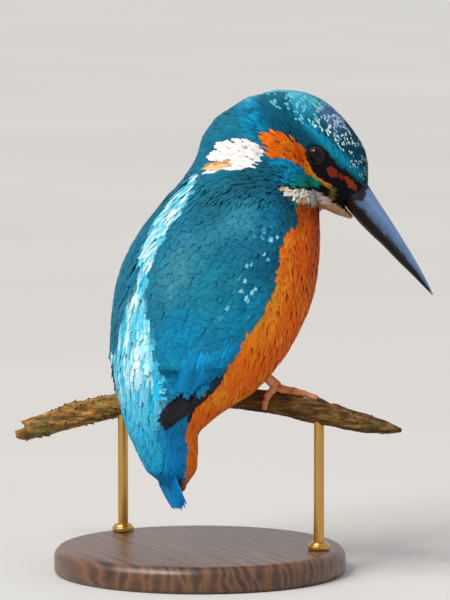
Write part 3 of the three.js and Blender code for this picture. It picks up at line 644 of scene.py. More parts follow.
def ball(middle, ways, slants, radii, sides):
    """A ball round the first of three ways: the angle of each of its rings from there, and its radius."""
    turns = np.linspace(0, 2 * math.pi, sides, endpoint=False)[:, None]
    round_it = np.cos(turns) * ways[1] + np.sin(turns) * ways[2]
    return loft([middle + r * (math.cos(a) * ways[0] + math.sin(a) * round_it) for a,
            r in zip(slants, radii)])


def solid_of(node, grow):
    """A CAD node's merged points and its faces, moved out by grow."""
    shape = bmesh.new()
    shape.from_mesh(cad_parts[node].data)
    bmesh.ops.remove_doubles(shape, verts=shape.verts, dist=1e-7)
    shape.normal_update()
    points = np.array([v.co / MM + v.normal * grow for v in shape.verts])
    faces = [[v.index for v in face.verts] for face in shape.faces]
    shape.free()
    return points, faces


# Bird skin: thin, pale pinkish grey and faintly pimpled; here it also carries the plumage's colours,
# so that no gap between feathers shows pale.
skin_finish, tree, shader, place_in = new_material("feathered skin",
    {"Roughness": 0.75, "Specular IOR Level": 0.25})
under_coat = put(tree, "Attribute", attribute_name="Plumage").outputs["Color"]
down = put(tree, "TexNoise", {"Vector": place_in, "Scale": 1500.0, "Detail": 3.0})
# painted shade: the plumage's colours are darkened by 0.6 to 0.95 where the skin shows deep between
# feathers
shade = put(tree, "MapRange", {"Value": down, "To Min": 0.6, "To Max": 0.95})
darker = put(tree, "Mix", {"Factor": 1.0, "A": under_coat, "B": shade}, data_type="RGBA",
    blend_type="MULTIPLY")
relief = put(tree, "Bump", {"Height": down, "Distance": 0.12 * MM})
feed(tree, shader, {"Base Color": darker, "Normal": relief})

parts = [solid_of(node, GAP_HALF) for node in FLESH]
fillers = [(from_head(-3.4, 0.1, 0), 4.2)]  # in the bill's root and in the eye sockets
fillers += [(from_head(-EYE_BACK, EYE_ABOVE, side * (EYE_ASIDE - 0.5)), 3.9) for side in (1, -1)]
slants = np.linspace(0.05, math.pi - 0.05, 16)
parts += [ball(middle, np.eye(3)[[2, 0, 1]], slants, np.full(16, radius), 24) for middle, radius in fillers]
coat_mesh = remeshed("coat_outline", parts, SKIN_CELL, skin_finish)


def largest_part(data):
    """Keeps the largest of a mesh's separate parts."""
    shape = bmesh.new()
    shape.from_mesh(data)
    left = set(shape.verts)
    best = set()
    while left:
        found = {left.pop()}
        edge = list(found)
        while edge:
            near = [e.other_vert(v) for v in edge for e in v.link_edges]
            edge = [v for v in set(near) if v in left]
            left.difference_update(edge)
            found.update(edge)
        if len(found) > len(best):
            best = found
    bmesh.ops.delete(shape, geom=[v for v in shape.verts if v not in best], context="VERTS")
    shape.to_mesh(data)
    shape.free()


largest_part(coat_mesh)


def unit(vectors):
    """Vectors made one long."""
    return vectors / np.maximum(np.linalg.norm(vectors, axis=-1, keepdims=True), 1e-9)


def ways_out(points, quads):
    """Unit ways out at the points and at the faces."""
    across = np.cross(points[quads[:, 2]] - points[quads[:, 0]], points[quads[:, 3]] - points[quads[:, 1]])
    total = np.zeros_like(points)
    for corner in range(4):
        np.add.at(total, quads[:, corner], across)
    at_points = unit(total)
    return at_points, unit(at_points[quads].sum(1))


coat_edges = column(coat_mesh.edges, "vertices", 2)
coat_quads = column(coat_mesh.loops, "vertex_index", 1).reshape(-1, 4)
coat_points = smoothed(points_of(coat_mesh), coat_edges, rounds=9)
coat_points = coat_points - GAP_HALF * ways_out(coat_points, coat_quads)[0]
point_ways, face_ways = ways_out(coat_points, coat_quads)
coat = BVHTree.FromPolygons(coat_points.tolist(), coat_quads.tolist())


def smooth_step(value, low, high):
    """0 below low, 1 above high and smooth between."""
    k = np.clip((np.asarray(value, float) - low) / (high - low), 0, 1)
    return k * k * (3 - 2 * k)


def past_head(points):
    """How far points lie beyond the head's joint with the neck."""
    return (points - HEAD_CUT) @ head_cut_way


def past_neck(points):
    """How far points lie beyond the neck's joint with the trunk."""
    return (points - NECK_CUT) @ neck_cut_way


def coat_depth(points):
    """How deep the coat is at points on its outside."""
    ahead, up, right = in_head(points)
    past_bill = np.linalg.norm(points - BILL_BASE, axis=1)
    head = np.interp(past_bill, (3, 8, 16, 26, 40), (0.3, 0.45, 0.6, 0.8, 1.1))
    from_eye = np.hypot(ahead + EYE_BACK, up - EYE_ABOVE)
    head = np.where(np.abs(right) > 6, np.minimum(head, 0.35 + 0.08 * from_eye), head)
    body = np.interp(points[:, 2], (24, 36, 48, 60, 100, 118), (0.6, 0.9, 1.3, 1.5, 1.5, 1.2))
    on_head = smooth_step(past_head(points), -8, 3)
    return body + (head - body) * on_head


skin_points = coat_points - point_ways * coat_depth(coat_points)[:, None]
skin_points = smoothed(skin_points, coat_edges, rounds=2)
coat_mesh.vertices.foreach_set("co", (skin_points * MM).ravel())
coat_mesh.polygons.foreach_set("use_smooth", [True] * len(coat_mesh.polygons))
skin = shown("kingfisher_skin", coat_mesh)


def laid_flat(points, quads, gap_mm):
    """Places of each face's corners on a flat unwrap, in a unit square."""
    soft = smoothed(points, coat_edges, rounds=60, back=0.0)
    way = ways_out(soft, quads)[1]
    facing = np.argmax(np.concatenate([way, -way], axis=1), axis=1)
    sides = np.sort(np.stack([quads, np.roll(quads, -1, axis=1)], axis=-1).reshape(-1, 2), axis=1)
    owner = np.repeat(np.arange(len(quads)), 4)
    order = np.lexsort((sides[:, 1], sides[:, 0]))
    pairs = owner[order].reshape(-1, 2)
    parent = np.arange(len(quads))

    def first(i):
        while parent[i] != i:
            parent[i] = parent[parent[i]]
            i = parent[i]
        return i

    for a, b in pairs[facing[pairs[:, 0]] == facing[pairs[:, 1]]]:
        parent[first(a)] = first(b)
    chart = np.array([first(i) for i in range(len(quads))])
    corners = points[quads]
    flat = np.empty(corners.shape[:2] + (2,))
    for axis in range(3):
        mine = facing % 3 == axis
        flat[mine] = corners[mine][..., [(axis + 1) % 3, (axis + 2) % 3]]
    flat[facing > 2, :, 0] *= -1
    boxes = []
    for name in np.unique(chart):
        mine = chart == name
        low_corner = flat[mine].min((0, 1))
        boxes.append((name, low_corner, flat[mine].max((0, 1)) - low_corner))
    boxes.sort(key=lambda box: -box[2][1])
    across = 1.12 * math.sqrt(sum((b[2][0] + gap_mm) * (b[2][1] + gap_mm) for b in boxes))
    x = y = row = 0.0
    for name, low_corner, extent in boxes:
        if x + extent[0] > across:
            x, y, row = 0.0, y + row, 0.0
        flat[chart == name] += (x, y) - low_corner
        x += extent[0] + gap_mm
        row = max(row, extent[1] + gap_mm)
    scale = 0.996 / max(across, y + row)
    return flat * scale + 0.002


skin_uv = laid_flat(coat_points, coat_quads, gap_mm=1.2)
coat_mesh.uv_layers.new(name="OFBake").data.foreach_set("uv", skin_uv.ravel())


# ---------------------------------------------------------------------------- Markings
# The blues come from the feathers' fine structure and the orange from pigment. Skin and feathers take
# their colour from the same markings, laid out in distances from the bill or round the body.
def code_colours(*codes):
    """Linear colours from hex codes, as rows."""
    return np.array([linear(code)[:3] for code in codes])


def wobble(points, size_mm, seed):
    """Smooth numbers from -1 to 1 at points, that change over about size_mm."""
    cells = np.asarray(points, float) / size_mm + 57.3 + 11.1 * seed
    corner = np.floor(cells).astype(np.int64)
    share = cells - corner
    share = share * share * (3 - 2 * share)
    total = np.zeros(len(cells))
    for step in np.ndindex(2, 2, 2):
        at = corner + step
        mixed = (at[:, 0] * 73856093) ^ (at[:, 1] * 19349663) ^ (at[:, 2] * 83492791) ^ (seed * 2654435)
        mixed = (mixed * 2246822519) & 0xFFFFFFFF
        mixed ^= mixed >> 15
        mixed = (mixed * 3266489917) & 0xFFFFFFFF
        mixed ^= mixed >> 13
        weight = np.prod(np.where(step, share, 1 - share), axis=1)
        total += weight * ((mixed & 0xFFFF) / 32767.5 - 1)
    return total


def inside(x, y, outline):
    """Which places lie inside an outline of (x, y) corners."""
    within = np.zeros(len(x), bool)
    for (ax, ay), (bx, by) in zip(outline, outline[1:] + outline[:1]):
        crosses = (ay > y) != (by > y)
        height = np.where(by == ay, 1.0, by - ay)
        within ^= crosses & (x < (bx - ax) * (y - ay) / height + ax)
    return within


# Patches on the side of the head: distances ahead of the bill's base and above it.
EAR_PATCH = [(-30, -8.1), (-29.8, -6.2), (-28.6, -4.2), (-26.6, -3), (-23.8, -1.3), (-21.5, -1.7),
    (-19.1, -0.8), (-17.4, -1.7), (-15.8, -2.8), (-12.1, -3.7), (-9, -3.4), (-5.5, -2.2), (-5.7, -3.6),
    (-9.5, -4.8), (-13.3, -5.1), (-15.5, -4.9), (-17.3, -5), (-20, -6.2), (-22.7, -8.8), (-24.2, -9.2),
    (-26.3, -8.4), (-28.5, -8.3)]
BUFF_GAPE = [(-6.2, -3.2), (-4.2, -1.8), (-2.8, -4.4), (-2.9, -6.2), (-4.6, -6.2), (-4.6, -4.4)]
LORES = [(-19.0, -0.8), (-18.6, 0.6), (-17.4, 2.0), (-15.7, 3.1), (-13.3, 3.1), (-10.8, 3.0), (-9.3, 3.2),
    (-6.6, 4), (-3, 4), (0, 4.6), (4, 6), (4, -2.4), (-2.6, -4.4), (-5.2, -2), (-9, -3.4), (-12.7, -3.8),
    (-16.1, -2.8), (-17.7, -1.9)]
CHIN = [(-8.6, -4.8), (-7.6, -7.2), (-5.7, -7.2), (-3.2, -6.6), (-0.4, -5.4), (2.6, -4.6), (5, -4),
    (4, -1), (-2, -2), (-5.2, -3.2)]
# rufous marks on the black: ahead, above, half length and half height
RUFOUS_MARKS = [(-9.0, 0.5, 1.6, 1.3), (-6.4, 1.8, 1.2, 0.8), (-4.2, 2.4, 1.4, 1.0), (-2.4, 2.0, 1.5, 1.1)]
NECK_PATCH = [(-31.6, -26.8), (-33.6, -24.6), (-34.6, -21.4), (-34.9, -19), (-34.2, -16.8),
    (-32.5, -13.4), (-29.7, -10.2), (-27.4, -9), (-25.4, -8.8), (-23.8, -9.8), (-23.2, -12),
    (-23.8, -14.8), (-24.6, -17.2), (-26.5, -19.6), (-28.2, -22.6), (-29.9, -25.4)]
NECK_BUFF = [(-32.2, -26.6), (-31.6, -23), (-29.6, -19.6), (-27.8, -18.2), (-26.8, -18.4), (-28.6, -21.6),
    (-30.4, -25.4)]
THROAT_PATCH = [(7, -1.6), (3, -2.2), (-1.2, -4.0), (-4.4, -5.1), (-6.6, -6.4), (-8.9, -7.4),
    (-11.2, -8.9), (-13.8, -11), (-12.8, -11.9), (-10.5, -11.2), (-7.4, -10.3), (-4.8, -9.3),
    (-0.5, -8.6), (3, -7.5), (7, -5.6)]
# the height, and the degrees round the body from its back, where the blue gives way to orange
ORANGE_FROM = [(24, 97), (31, 101), (35, 104), (40, 104), (43, 94), (46, 85), (49, 77), (51, 73),
    (52.5, 72), (55, 74), (57, 77), (59, 79), (62, 80), (68, 81), (80, 92.5), (87, 97), (93, 95.5),
    (99, 96), (101.5, 105), (112, 110), (118, 116), (126, 126)]
# the height, and the degrees from the middle of the back, out to which it is azure
AZURE_TO = [(24, 75), (34, 68), (42, 60), (47, 54), (50, 49), (54.2, 40), (58.4, 37), (62.7, 34),
    (66, 29), (72.4, 24), (80, 16), (92, 13), (104, 13), (110, 12), (114, 8), (116, 0), (118, -20)]
# and the degrees at which it starts: above the rump the left scapulars lie over its left part
AZURE_START = [(61, -180), (63, -40), (65, -12), (68, -8), (78, -1), (85.7, 6), (91, 1), (95.5, -4),
    (100, -9), (104, -13)]
# tones of mantle and wing: degrees from the middle of the back, height, spread in each, and colour
WING_TONES = [(62, 113, 16, 4.5, "#174f60"), (38, 107, 12, 5.0, "#1b5c70"), (60, 103, 11, 3.6, "#398b9d"),
    (47, 98, 7, 4.0, "#2e7d90"), (94, 106, 18, 5.0, "#0a7299"), (72, 97, 9, 4.0, "#1b6f8c"),
    (33, 90, 10, 8.0, "#3f8798"), (92, 92, 12, 7.0, "#07597c"), (58, 85, 14, 6.0, "#1f8298"),
    (80, 76, 20, 8.0, "#0f8ab4"), (46, 70, 15, 9.0, "#0887b6"), (64, 60, 22, 7.0, "#0a7fb4")]


def over(colour, paint, where):
    """A colour with another laid over it, by a share from 0 to 1 at each place; either may be a code."""
    colour, paint = (code_colours(one)[0] if isinstance(one, str) else one for one in (colour, paint))
    where = np.clip(np.asarray(where, float), 0, 1)[:, None]
    return colour + (paint - colour) * where


def read(table, x):
    """A table's second column at x in its first."""
    return np.interp(x, *np.transpose(table))


def marking(points):
    """The plumage's colour at points of the coat."""
    points = np.asarray(points, float)
    ahead, up, right = in_head(points)
    signed, height = round_body(points)
    turn, aside = np.abs(signed), np.abs(right)
    broad, fine = wobble(points, 8.0, 1), wobble(points, 2.4, 2)

    # mantle, shoulders and wings: a sum of tones, each strongest at its own place
    colour = code_colours("#15708c")[0] * 0.35
    total = np.full(len(points), 0.35)
    for middle, level, wide, tall, code in WING_TONES:
        off = ((turn - middle + 3 * fine) / wide) ** 2 + ((height - level + 1.5 * broad) / tall) ** 2
        weight = np.exp(-1.5 * off)
        colour = colour + weight[:, None] * code_colours(code)[0]
        total += weight
    colour /= total[:, None]
    colour = over(colour, colour * (0.45, 0.75, 0.8), 0.6 * smooth_step(fine, 0.25, 0.8))
    colour = over(colour, colour * (1.8, 1.25, 1.15), 0.6 * smooth_step(-fine, 0.3, 0.8))

    # azure down the middle of the back and all over the rump
    run = 0.6 * wobble(points * (1, 1, 0.14), 1.9, 3) + 0.7 * wobble(points * (1, 1, 0.08), 0.8, 4)
    stripe = over("#78d6ea", "#1fb3de", smooth_step(run + 0.4 * broad, -0.2, 0.7))
    # painted highlight: near-white streaks on the upper back stand in for the sheen on the azure
    stripe = over(stripe, "#d6f3f8", smooth_step(-run - 0.4 * broad, -0.1, 0.6)
        * smooth_step(height, 42, 62))
    lower = 1 - smooth_step(height + 9 * run, 36, 60)
    stripe = over(stripe, over("#1fb3de", "#0aa4dc", smooth_step(run, -0.3, 0.4)), 0.9 * lower)
    stripe = over(stripe, "#0c86cc", 0.9 * smooth_step(turn + 16 * run, 38, 70)
        * (1 - smooth_step(height, 44, 52)))
    stripe = over(stripe, "#0c86cc", (1 - smooth_step(height + 7 * run, 26, 37)) * 0.95)
    edge = read(AZURE_TO, height) + 3.0 * fine
    below_wing = (height < 46.5) | ((height < 54) & (turn < 49))
    start = read(AZURE_START, height) + 2.0 * fine
    striped = smooth_step(edge - turn, -1.5, 1.5) * smooth_step(signed - start, -1.5, 1.5)
    colour = over(colour, stripe, np.maximum(striped, below_wing))

    # crown, nape and the sides of the neck
    front = smooth_step(ahead, -34, -20)
    crown = over("#0691c0", "#0b4f64", front)
    crown = over(crown, "#06607c", (1 - front) * smooth_step(fine + 0.6 * broad, 0.15, 0.7))
    # painted highlight: a pale cyan band along the top of the rear crown and nape, where light falls on the
    # head
    rim = (1 - smooth_step(aside + 3 * fine, 4, 11)) * (0.45 + 0.55 * smooth_step(fine, -0.2, 0.3))
    crown = over(crown, "#5cc4d8", 0.85 * rim * (1 - smooth_step(ahead, -29, -22)))
    brow = np.exp(-(((up - 4.6 - 0.1 * (ahead + 16)) / 1.3) ** 2)) * (ahead > -24) * (aside > 3)
    crown = over(crown, "#0fa4c8", 0.85 * brow)
    above_ear = smooth_step(up, -6.5, -3.5) * (1 - smooth_step(up + 0.2 * (ahead + 24), 0.6, 2.6)) * (
        aside > 3)
    crown = over(crown, "#084d63", 0.8 * above_ear * (1 - brow))
    violet = smooth_step(up + 0.5 * fine, 7.0, 8.4) * smooth_step(ahead, -28,
        -24) * (1 - smooth_step(ahead, -20, -15))
    crown = over(crown, "#6576b0", 0.75 * violet)
    cheek = (up < -3) & (up > -14) & (ahead > -24)
    cheek = cheek * (1 - smooth_step(aside + 2 * fine, 17, 23))
    green = smooth_step(ahead + fine, -14.5, -11.5)
    malar = over("#0a9cc8", "#169a86", green)
    malar = over(malar, "#0b94bb", smooth_step(fine + 0.4 * broad, 0.1, 0.6) * (1 - green))
    crown = over(crown, malar, cheek)
    colour = over(colour, crown, smooth_step(past_head(points), -6, 0))

    # breast, belly and under the tail
    breast = over("#fb7018", "#ff9c26", smooth_step(fine + broad, 0.1, 0.9) * 0.8)
    breast = over(breast, "#ff9c26", 0.8 * np.exp(-(((height - 78) / 12) ** 2))
        * (1 - smooth_step(turn, 98, 114)))
    breast = over(breast, "#ca4b11", 0.75 * smooth_step(turn + 6 * fine, 112, 140)
        * smooth_step(height, 70, 96))
    breast = over(breast, "#7c2c10", 0.75 * smooth_step(height + fine, 97, 108) * (turn < 165))
    breast = over(breast, "#ff821e", 0.8 * (1 - smooth_step(height, 38, 52)))
    start = read(ORANGE_FROM, height) + 2.0 * fine
    far_head = past_neck(points) > -4
    line_under = np.interp(ahead, (-34, -24, -16, -12, -4, 2), (-27, -17, -12.3, -11.2, -8.9, -7.1))
    below = start - turn
    # painted shadow: a near-black strip on the flank, just before the orange, under the folded wing's lower
    # edge
    wing_crease_painted_shadow = (below > 0) & (below < np.interp(height, (48, 59, 61), (6.5, 3.0, 0))) & (height > 47)
    colour = over(colour, "#221f29", 0.9 * wing_crease_painted_shadow)
    colour = over(colour, breast, (turn > start) & (~far_head | (up < line_under + 0.5 * fine)))

    # face
    x, y = ahead + 0.3 * fine, up + 0.25 * wobble(points, 1.6, 7)
    side = aside > 2.4
    colour = over(colour, "#fbf8f4", inside(x, y, NECK_PATCH) & side & far_head)
    buff = over("#ecc796", "#c98a4a", smooth_step(fine, -0.2, 0.3))
    colour = over(colour, buff, inside(x, y, NECK_BUFF) & side & far_head)
    under_chin = 0.45 * np.clip(7 - aside, 0, 7)
    colour = over(colour, "#17161f", inside(x, y + 0.5 * under_chin, CHIN) & (aside > 1.5))
    colour = over(colour, "#17161f", (ahead > -2) & (up < 0) & (up > -7.5) & (aside < 6) & far_head)
    throat = inside(x, y + under_chin, THROAT_PATCH) & far_head
    # painted shadow: a dark band along the top edge of the throat patch, under the cheek
    above = inside(x, y + under_chin - 0.7, THROAT_PATCH) & far_head & (x < -4)
    colour = over(colour, "#12303c", above)
    chin_shade = smooth_step(4.4 - aside, 0, 1.6) * smooth_step(x, -5.5, -4)
    shaded = np.maximum(smooth_step(-y, 8.4, 9.2) * smooth_step(x, -8.5, -6.5), chin_shade)
    shaded = np.maximum(shaded, smooth_step(-x, 12.0, 12.8))
    colour = over(colour, over("#fff8ea", "#c98a4a", 0.85 * shaded), throat)
    ear = over("#fa7216", "#ea620f", smooth_step(y + 0.6 * fine, -6, -3) * 0.8)
    ear = over(ear, "#ff961c", np.maximum(smooth_step(x, -17, -13), 0.6 * smooth_step(fine, 0.2, 0.7)))
    colour = over(colour, ear, inside(x, y, EAR_PATCH) & side)
    colour = over(colour, "#17161f", inside(x, y, LORES) & side)
    colour = over(colour, "#857234", inside(x, y, BUFF_GAPE) & side)
    for mark_ahead, mark_up, long, tall in RUFOUS_MARKS:
        near = ((x - mark_ahead) / long) ** 2 + ((y - mark_up) / tall) ** 2
        colour = over(colour, "#b0491c" if mark_ahead > -5 else "#93361a", (near < 1) & side)
    return colour


def set_colours(data, name, colours):
    """A colour for each point of a mesh; a fourth column is kept as alpha."""
    colours = np.asarray(colours)
    if colours.shape[1] == 3:
        colours = np.column_stack([colours, np.ones(len(colours))])
    data.color_attributes.new(name, "FLOAT_COLOR", "POINT").data.foreach_set("color", colours.ravel())


set_colours(coat_mesh, "Plumage", marking(coat_points))


# ---------------------------------------------------------------------------- Eyelids
# A narrow ring of bare black skin lines the opening over each eye. It is part of the same skin, and
# it follows the ball with its edge rolled over.
def eye_frame(side):
    """An eye's middle, and its ways: where it looks, out and a little ahead, forward and upward."""
    way = unit(side * cheek_way + 0.16 * bill_way + 0.04 * crown_way)
    forward = unit(bill_way - way * (bill_way @ way))
    return from_head(-EYE_BACK, EYE_ABOVE, side * EYE_ASIDE), way, forward, np.cross(way, forward)


LID_THICK, LID_OVAL, LID_CORNER = 0.3, 0.07, 0.05  # millimetres, and shares of the opening's angle
LID_SIDES, LID_ROUND = 64, 12
parts = [skin]
for side in (1, -1):
    middle, way, forward, upward = eye_frame(side)
    turns = np.linspace(0, 2 * math.pi, LID_SIDES, endpoint=False)
    opening = np.arcsin(EYE_OPEN / EYE_RADIUS) * (1 + LID_OVAL * np.cos(2 * turns))
    for corner in (0, 2 * math.pi):
        opening = opening + LID_CORNER * np.exp(-(((turns - corner) / 0.25) ** 2))
    across = np.cos(turns)[:, None] * forward + np.sin(turns)[:, None] * upward
    rim = np.cos(opening)[:, None] * way + np.sin(opening)[:, None] * across
    sideways = np.cos(opening)[:, None] * across - np.sin(opening)[:, None] * way
    section = np.linspace(0, 2 * math.pi, LID_ROUND, endpoint=False)[:, None]
    points = []
    for r, s in zip(rim, sideways):
        ring = np.cos(section) * r * 0.8 + np.sin(section) * s * 1.25 + s * 0.9
        points.append(middle + (EYE_RADIUS + 0.02) * r + LID_THICK * ring)
    lid = make_mesh("lid", np.concatenate(points), wall(LID_SIDES, LID_ROUND, closed=True), skin_finish)
    set_colours(lid.data, "Plumage", np.tile(code_colours("#17151a"), (len(lid.data.vertices), 1)))
    corner = column(lid.data.loops, "vertex_index", 1)[:, 0]
    across_uv = 0.9 + 0.07 * (corner // LID_ROUND) / LID_SIDES
    lid_uv = np.column_stack([across_uv, 0.9 + 0.04 * (corner % LID_ROUND) / LID_ROUND + 0.05 * (side > 0)])
    lid.data.uv_layers.new(name="OFBake").data.foreach_set("uv", lid_uv.ravel())
    parts.append(lid)
skin = join("kingfisher_skin", parts)
skin.data.polygons.foreach_set("use_smooth", [True] * len(skin.data.polygons))
place(skin, "body_feathers", *FLESH)


# ---------------------------------------------------------------------------- Head feathers
# Short close feathers, smallest round the bill and the eyes. Each is a thin vane: a shaft with barbs
# swept forward on both sides, set in the skin at its root and lapped over the next ones.
EVEN = 0.003  # how wide a feather's patch is on the skin's unwrap
VANE_THICK = 0.05
EDGE_DROOP = 0.1  # how far a vane's edges curl down, of half its width


def vane_pattern(groups, random, blunt, notch):
    """Corners (across, along, under) and faces of a thin closed vane, its edges split into swept barbs."""

    def width(t):
        return (0.4 + 0.6 * min(1, t / 0.4)) * (1 - (1 - blunt) * max(0, (t - 0.5) / 0.5) ** 2.2)

    steps = [0.93 * (i / groups) ** 0.9 for i in range(groups)] + [random.uniform(0.93, 1.0)]
    corners = [(0, t, under) for t in steps for under in (0, 1)]
    shaft = [0, *range(2, 2 * groups, 2), 2 * groups]
    below = [0, *range(3, 2 * groups + 1, 2), 2 * groups]
    faces = []
    for side in (1, -1):
        notches = [len(corners) + i for i in range(groups)] + [shaft[-1]]
        for t in steps[:-1]:
            sweep = t + 0.05 + random.uniform(-0.015, 0.015)
            corners.append((side * notch * width(sweep) * random.uniform(0.9, 1.06), sweep, 0))
        for i in range(groups):
            t = min(1.02, (steps[i] + steps[i + 1]) / 2 + random.uniform(0.1, 0.18) * (1.3 - notch) / 0.68)
            tip = len(corners)
            reach = side * width(min(1, t)) * random.uniform(0.5 + notch / 2, 1.12 - notch / 10)
            corners.append((reach, t, 0))
            whole = [(shaft[i], notches[i], notches[i + 1]), (shaft[i], notches[i + 1], shaft[i + 1]),
                (notches[i], tip, notches[i + 1]), (below[i], tip, notches[i]),
                (below[i], notches[i + 1], tip), (below[i], below[i + 1], notches[i + 1])]
            faces += [f if side > 0 else f[::-1] for f in whole if len(set(f)) == 3]
    return np.array(corners), np.array(faces)


def nearest(points):
    """The coat's outside nearest to points, and the ways out and faces there."""
    shape = points.shape[:-1]
    found = [coat.find_nearest(p) for p in points.reshape(-1, 3).tolist()]
    places = np.array([f[0][:] for f in found]).reshape(*shape, 3)
    faces = np.array([f[2] for f in found])
    return places, face_ways[faces].reshape(*shape, 3), faces.reshape(shape)


# The lie of the coat: away from the bill over the whole skin, and down to the tail on the body.
BARE_ROUND_BILL = 4.6  # how far the coat's edge is from the middle of the bill's base


def distance_from_bill():
    """For each point of the coat, its distance over the surface from the bill's base."""
    diagonals = np.concatenate([coat_quads[:, [0, 2]], coat_quads[:, [1, 3]]])
    links = np.concatenate([coat_edges, diagonals])
    lengths = np.linalg.norm(coat_points[links[:, 0]] - coat_points[links[:, 1]], axis=1)
    near = [[] for _ in coat_points]
    for (a, b), span in zip(links.tolist(), lengths.tolist()):
        near[a].append((b, span))
        near[b].append((a, span))
    start = np.flatnonzero(np.linalg.norm(coat_points - BILL_BASE, axis=1) < BARE_ROUND_BILL)
    best = np.full(len(coat_points), np.inf)
    best[start] = 0
    queue = [(0.0, int(i)) for i in start]
    while queue:
        far, i = heapq.heappop(queue)
        if far > best[i]:
            continue
        for j, span in near[i]:
            if far + span < best[j]:
                best[j] = far + span
                heapq.heappush(queue, (far + span, j))
    return best


softened = smoothed(distance_from_bill()[:, None], coat_edges, rounds=25, back=0.0)[:, 0]


def slope_over(points, quads, values):
    """The way in which values grow fastest over the surface, at its points."""
    total = np.zeros_like(points)
    for a, b, c in ((0, 1, 2), (0, 2, 3)):
        p, q, r = (points[quads[:, k]] for k in (a, b, c))
        normal = np.cross(q - p, r - p)
        double = np.maximum((normal**2).sum(1), 1e-9)[:, None]
        grade = np.zeros_like(p)
        for value, edge in ((quads[:, a], r - q), (quads[:, b], p - r), (quads[:, c], q - p)):
            grade += values[value][:, None] * np.cross(normal, edge)
        for k in (a, b, c):
            np.add.at(total, quads[:, k], grade / double)
    return unit(total)


lie = slope_over(coat_points, coat_quads, softened)
TAIL_ROOT = np.array([0.0, 7.0, -4.0])
tailward = unit(TAIL_ROOT - coat_points)
tailward = unit(tailward - point_ways * (tailward * point_ways).sum(1, keepdims=True))
on_body = 1 - smooth_step(past_neck(coat_points), -10, 6)
lie = unit(lie * (1 - on_body[:, None]) + tailward * on_body[:, None])
for _ in range(6):
    lie = smoothed(lie, coat_edges, rounds=1, back=0.0)
    lie = unit(lie - point_ways * (lie * point_ways).sum(1, keepdims=True))
face_lie = unit(lie[coat_quads].sum(1))


def skin_place(faces, points):
    """Where points of the coat lie on the skin's unwrap."""
    corners = coat_points[coat_quads[faces]]
    weights = 1 / (np.linalg.norm(corners - points[:, None], axis=2) ** 2 + 1e-3)
    weights /= weights.sum(1, keepdims=True)
    return (skin_uv[faces] * weights[..., None]).sum(1)


PLACES_TRIED = 14 * 0.7  # random places for each gap's square of skin


def scatter(wanted, spacing, seed):
    """Roots over the wanted part of the coat, no two nearer than the spacing there."""
    random = np.random.default_rng(seed)
    middle = coat_points[coat_quads].mean(1)
    faces = np.flatnonzero(wanted(middle))
    corners = coat_points[coat_quads[faces]]
    diagonals = corners[:, 2] - corners[:, 0], corners[:, 3] - corners[:, 1]
    area = 0.5 * np.linalg.norm(np.cross(*diagonals), axis=1)
    gaps = spacing(middle[faces])
    share = area / gaps**2
    count = int(PLACES_TRIED * share.sum())
    picked = random.choice(len(faces), count, p=share / share.sum())
    u, v = random.random((2, count, 1))
    c = corners[picked]
    points = (1 - u) * (1 - v) * c[:, 0] + u * (1 - v) * c[:, 1] + u * v * c[:, 2] + (1 - u) * v * c[:, 3]
    near = gaps[picked]
    cell = float(near.max())
    grid = {}
    kept = []
    for i, (x, y, z) in enumerate(points.tolist()):
        a, b, c = int(x // cell), int(y // cell), int(z // cell)
        around = itertools.product((a - 1, a, a + 1), (b - 1, b, b + 1), (c - 1, c, c + 1))
        others = itertools.chain.from_iterable(grid.get(key, ()) for key in around)
        if all((px - x) ** 2 + (py - y) ** 2 + (pz - z) ** 2 >= near[i] ** 2 for px, py, pz in others):
            grid.setdefault((a, b, c), []).append((x, y, z))
            kept.append(i)
    return points[kept], faces[picked[kept]]


STEPS = 4  # stretches in each feather's middle line
LOOSE_BELOW = (25, 29)  # heights between which feathers come away from the skin towards the tail


def combed(roots, faces, lengths, random, yaw, turn_to=None):
    """Middle lines from roots over the coat, in the way that it lies there, give or take yaw degrees."""
    angle = np.radians(random.normal(0, yaw, len(roots)))[:, None]
    at, face = roots, faces
    line = [at]
    for _ in range(STEPS):
        way = face_lie[face] if turn_to is None else turn_to(at, face_ways[face])
        side = np.cross(way, face_ways[face])
        ahead = at + (way * np.cos(angle) + side * np.sin(angle)) * lengths[:, None] / STEPS
        on_coat, _, face = nearest(ahead)
        loose = 1 - smooth_step(ahead[:, 2:], *LOOSE_BELOW)
        at = on_coat * (1 - loose) + ahead * loose
        line.append(at)
    return np.stack(line, axis=1)


def off_branch(line, room):
    """Which middle lines stay clear of the branch."""
    along = (line[..., :2] - PERCH_MIDDLE) @ branch_way[:2]
    t = np.clip(along, PERCH_COURSE[0][0], PERCH_COURSE[-1][0])
    off = line - branch_middle(t.ravel()).reshape(line.shape)
    radius = smooth_along(PERCH_COURSE, 2, t.ravel()).reshape(t.shape)
    return (np.linalg.norm(off, axis=-1) > radius + room).all(axis=1)


MARK_AT, MARK_LONG = 0.88, 0.16  # middle and half length of a marked tip, of the vane's length


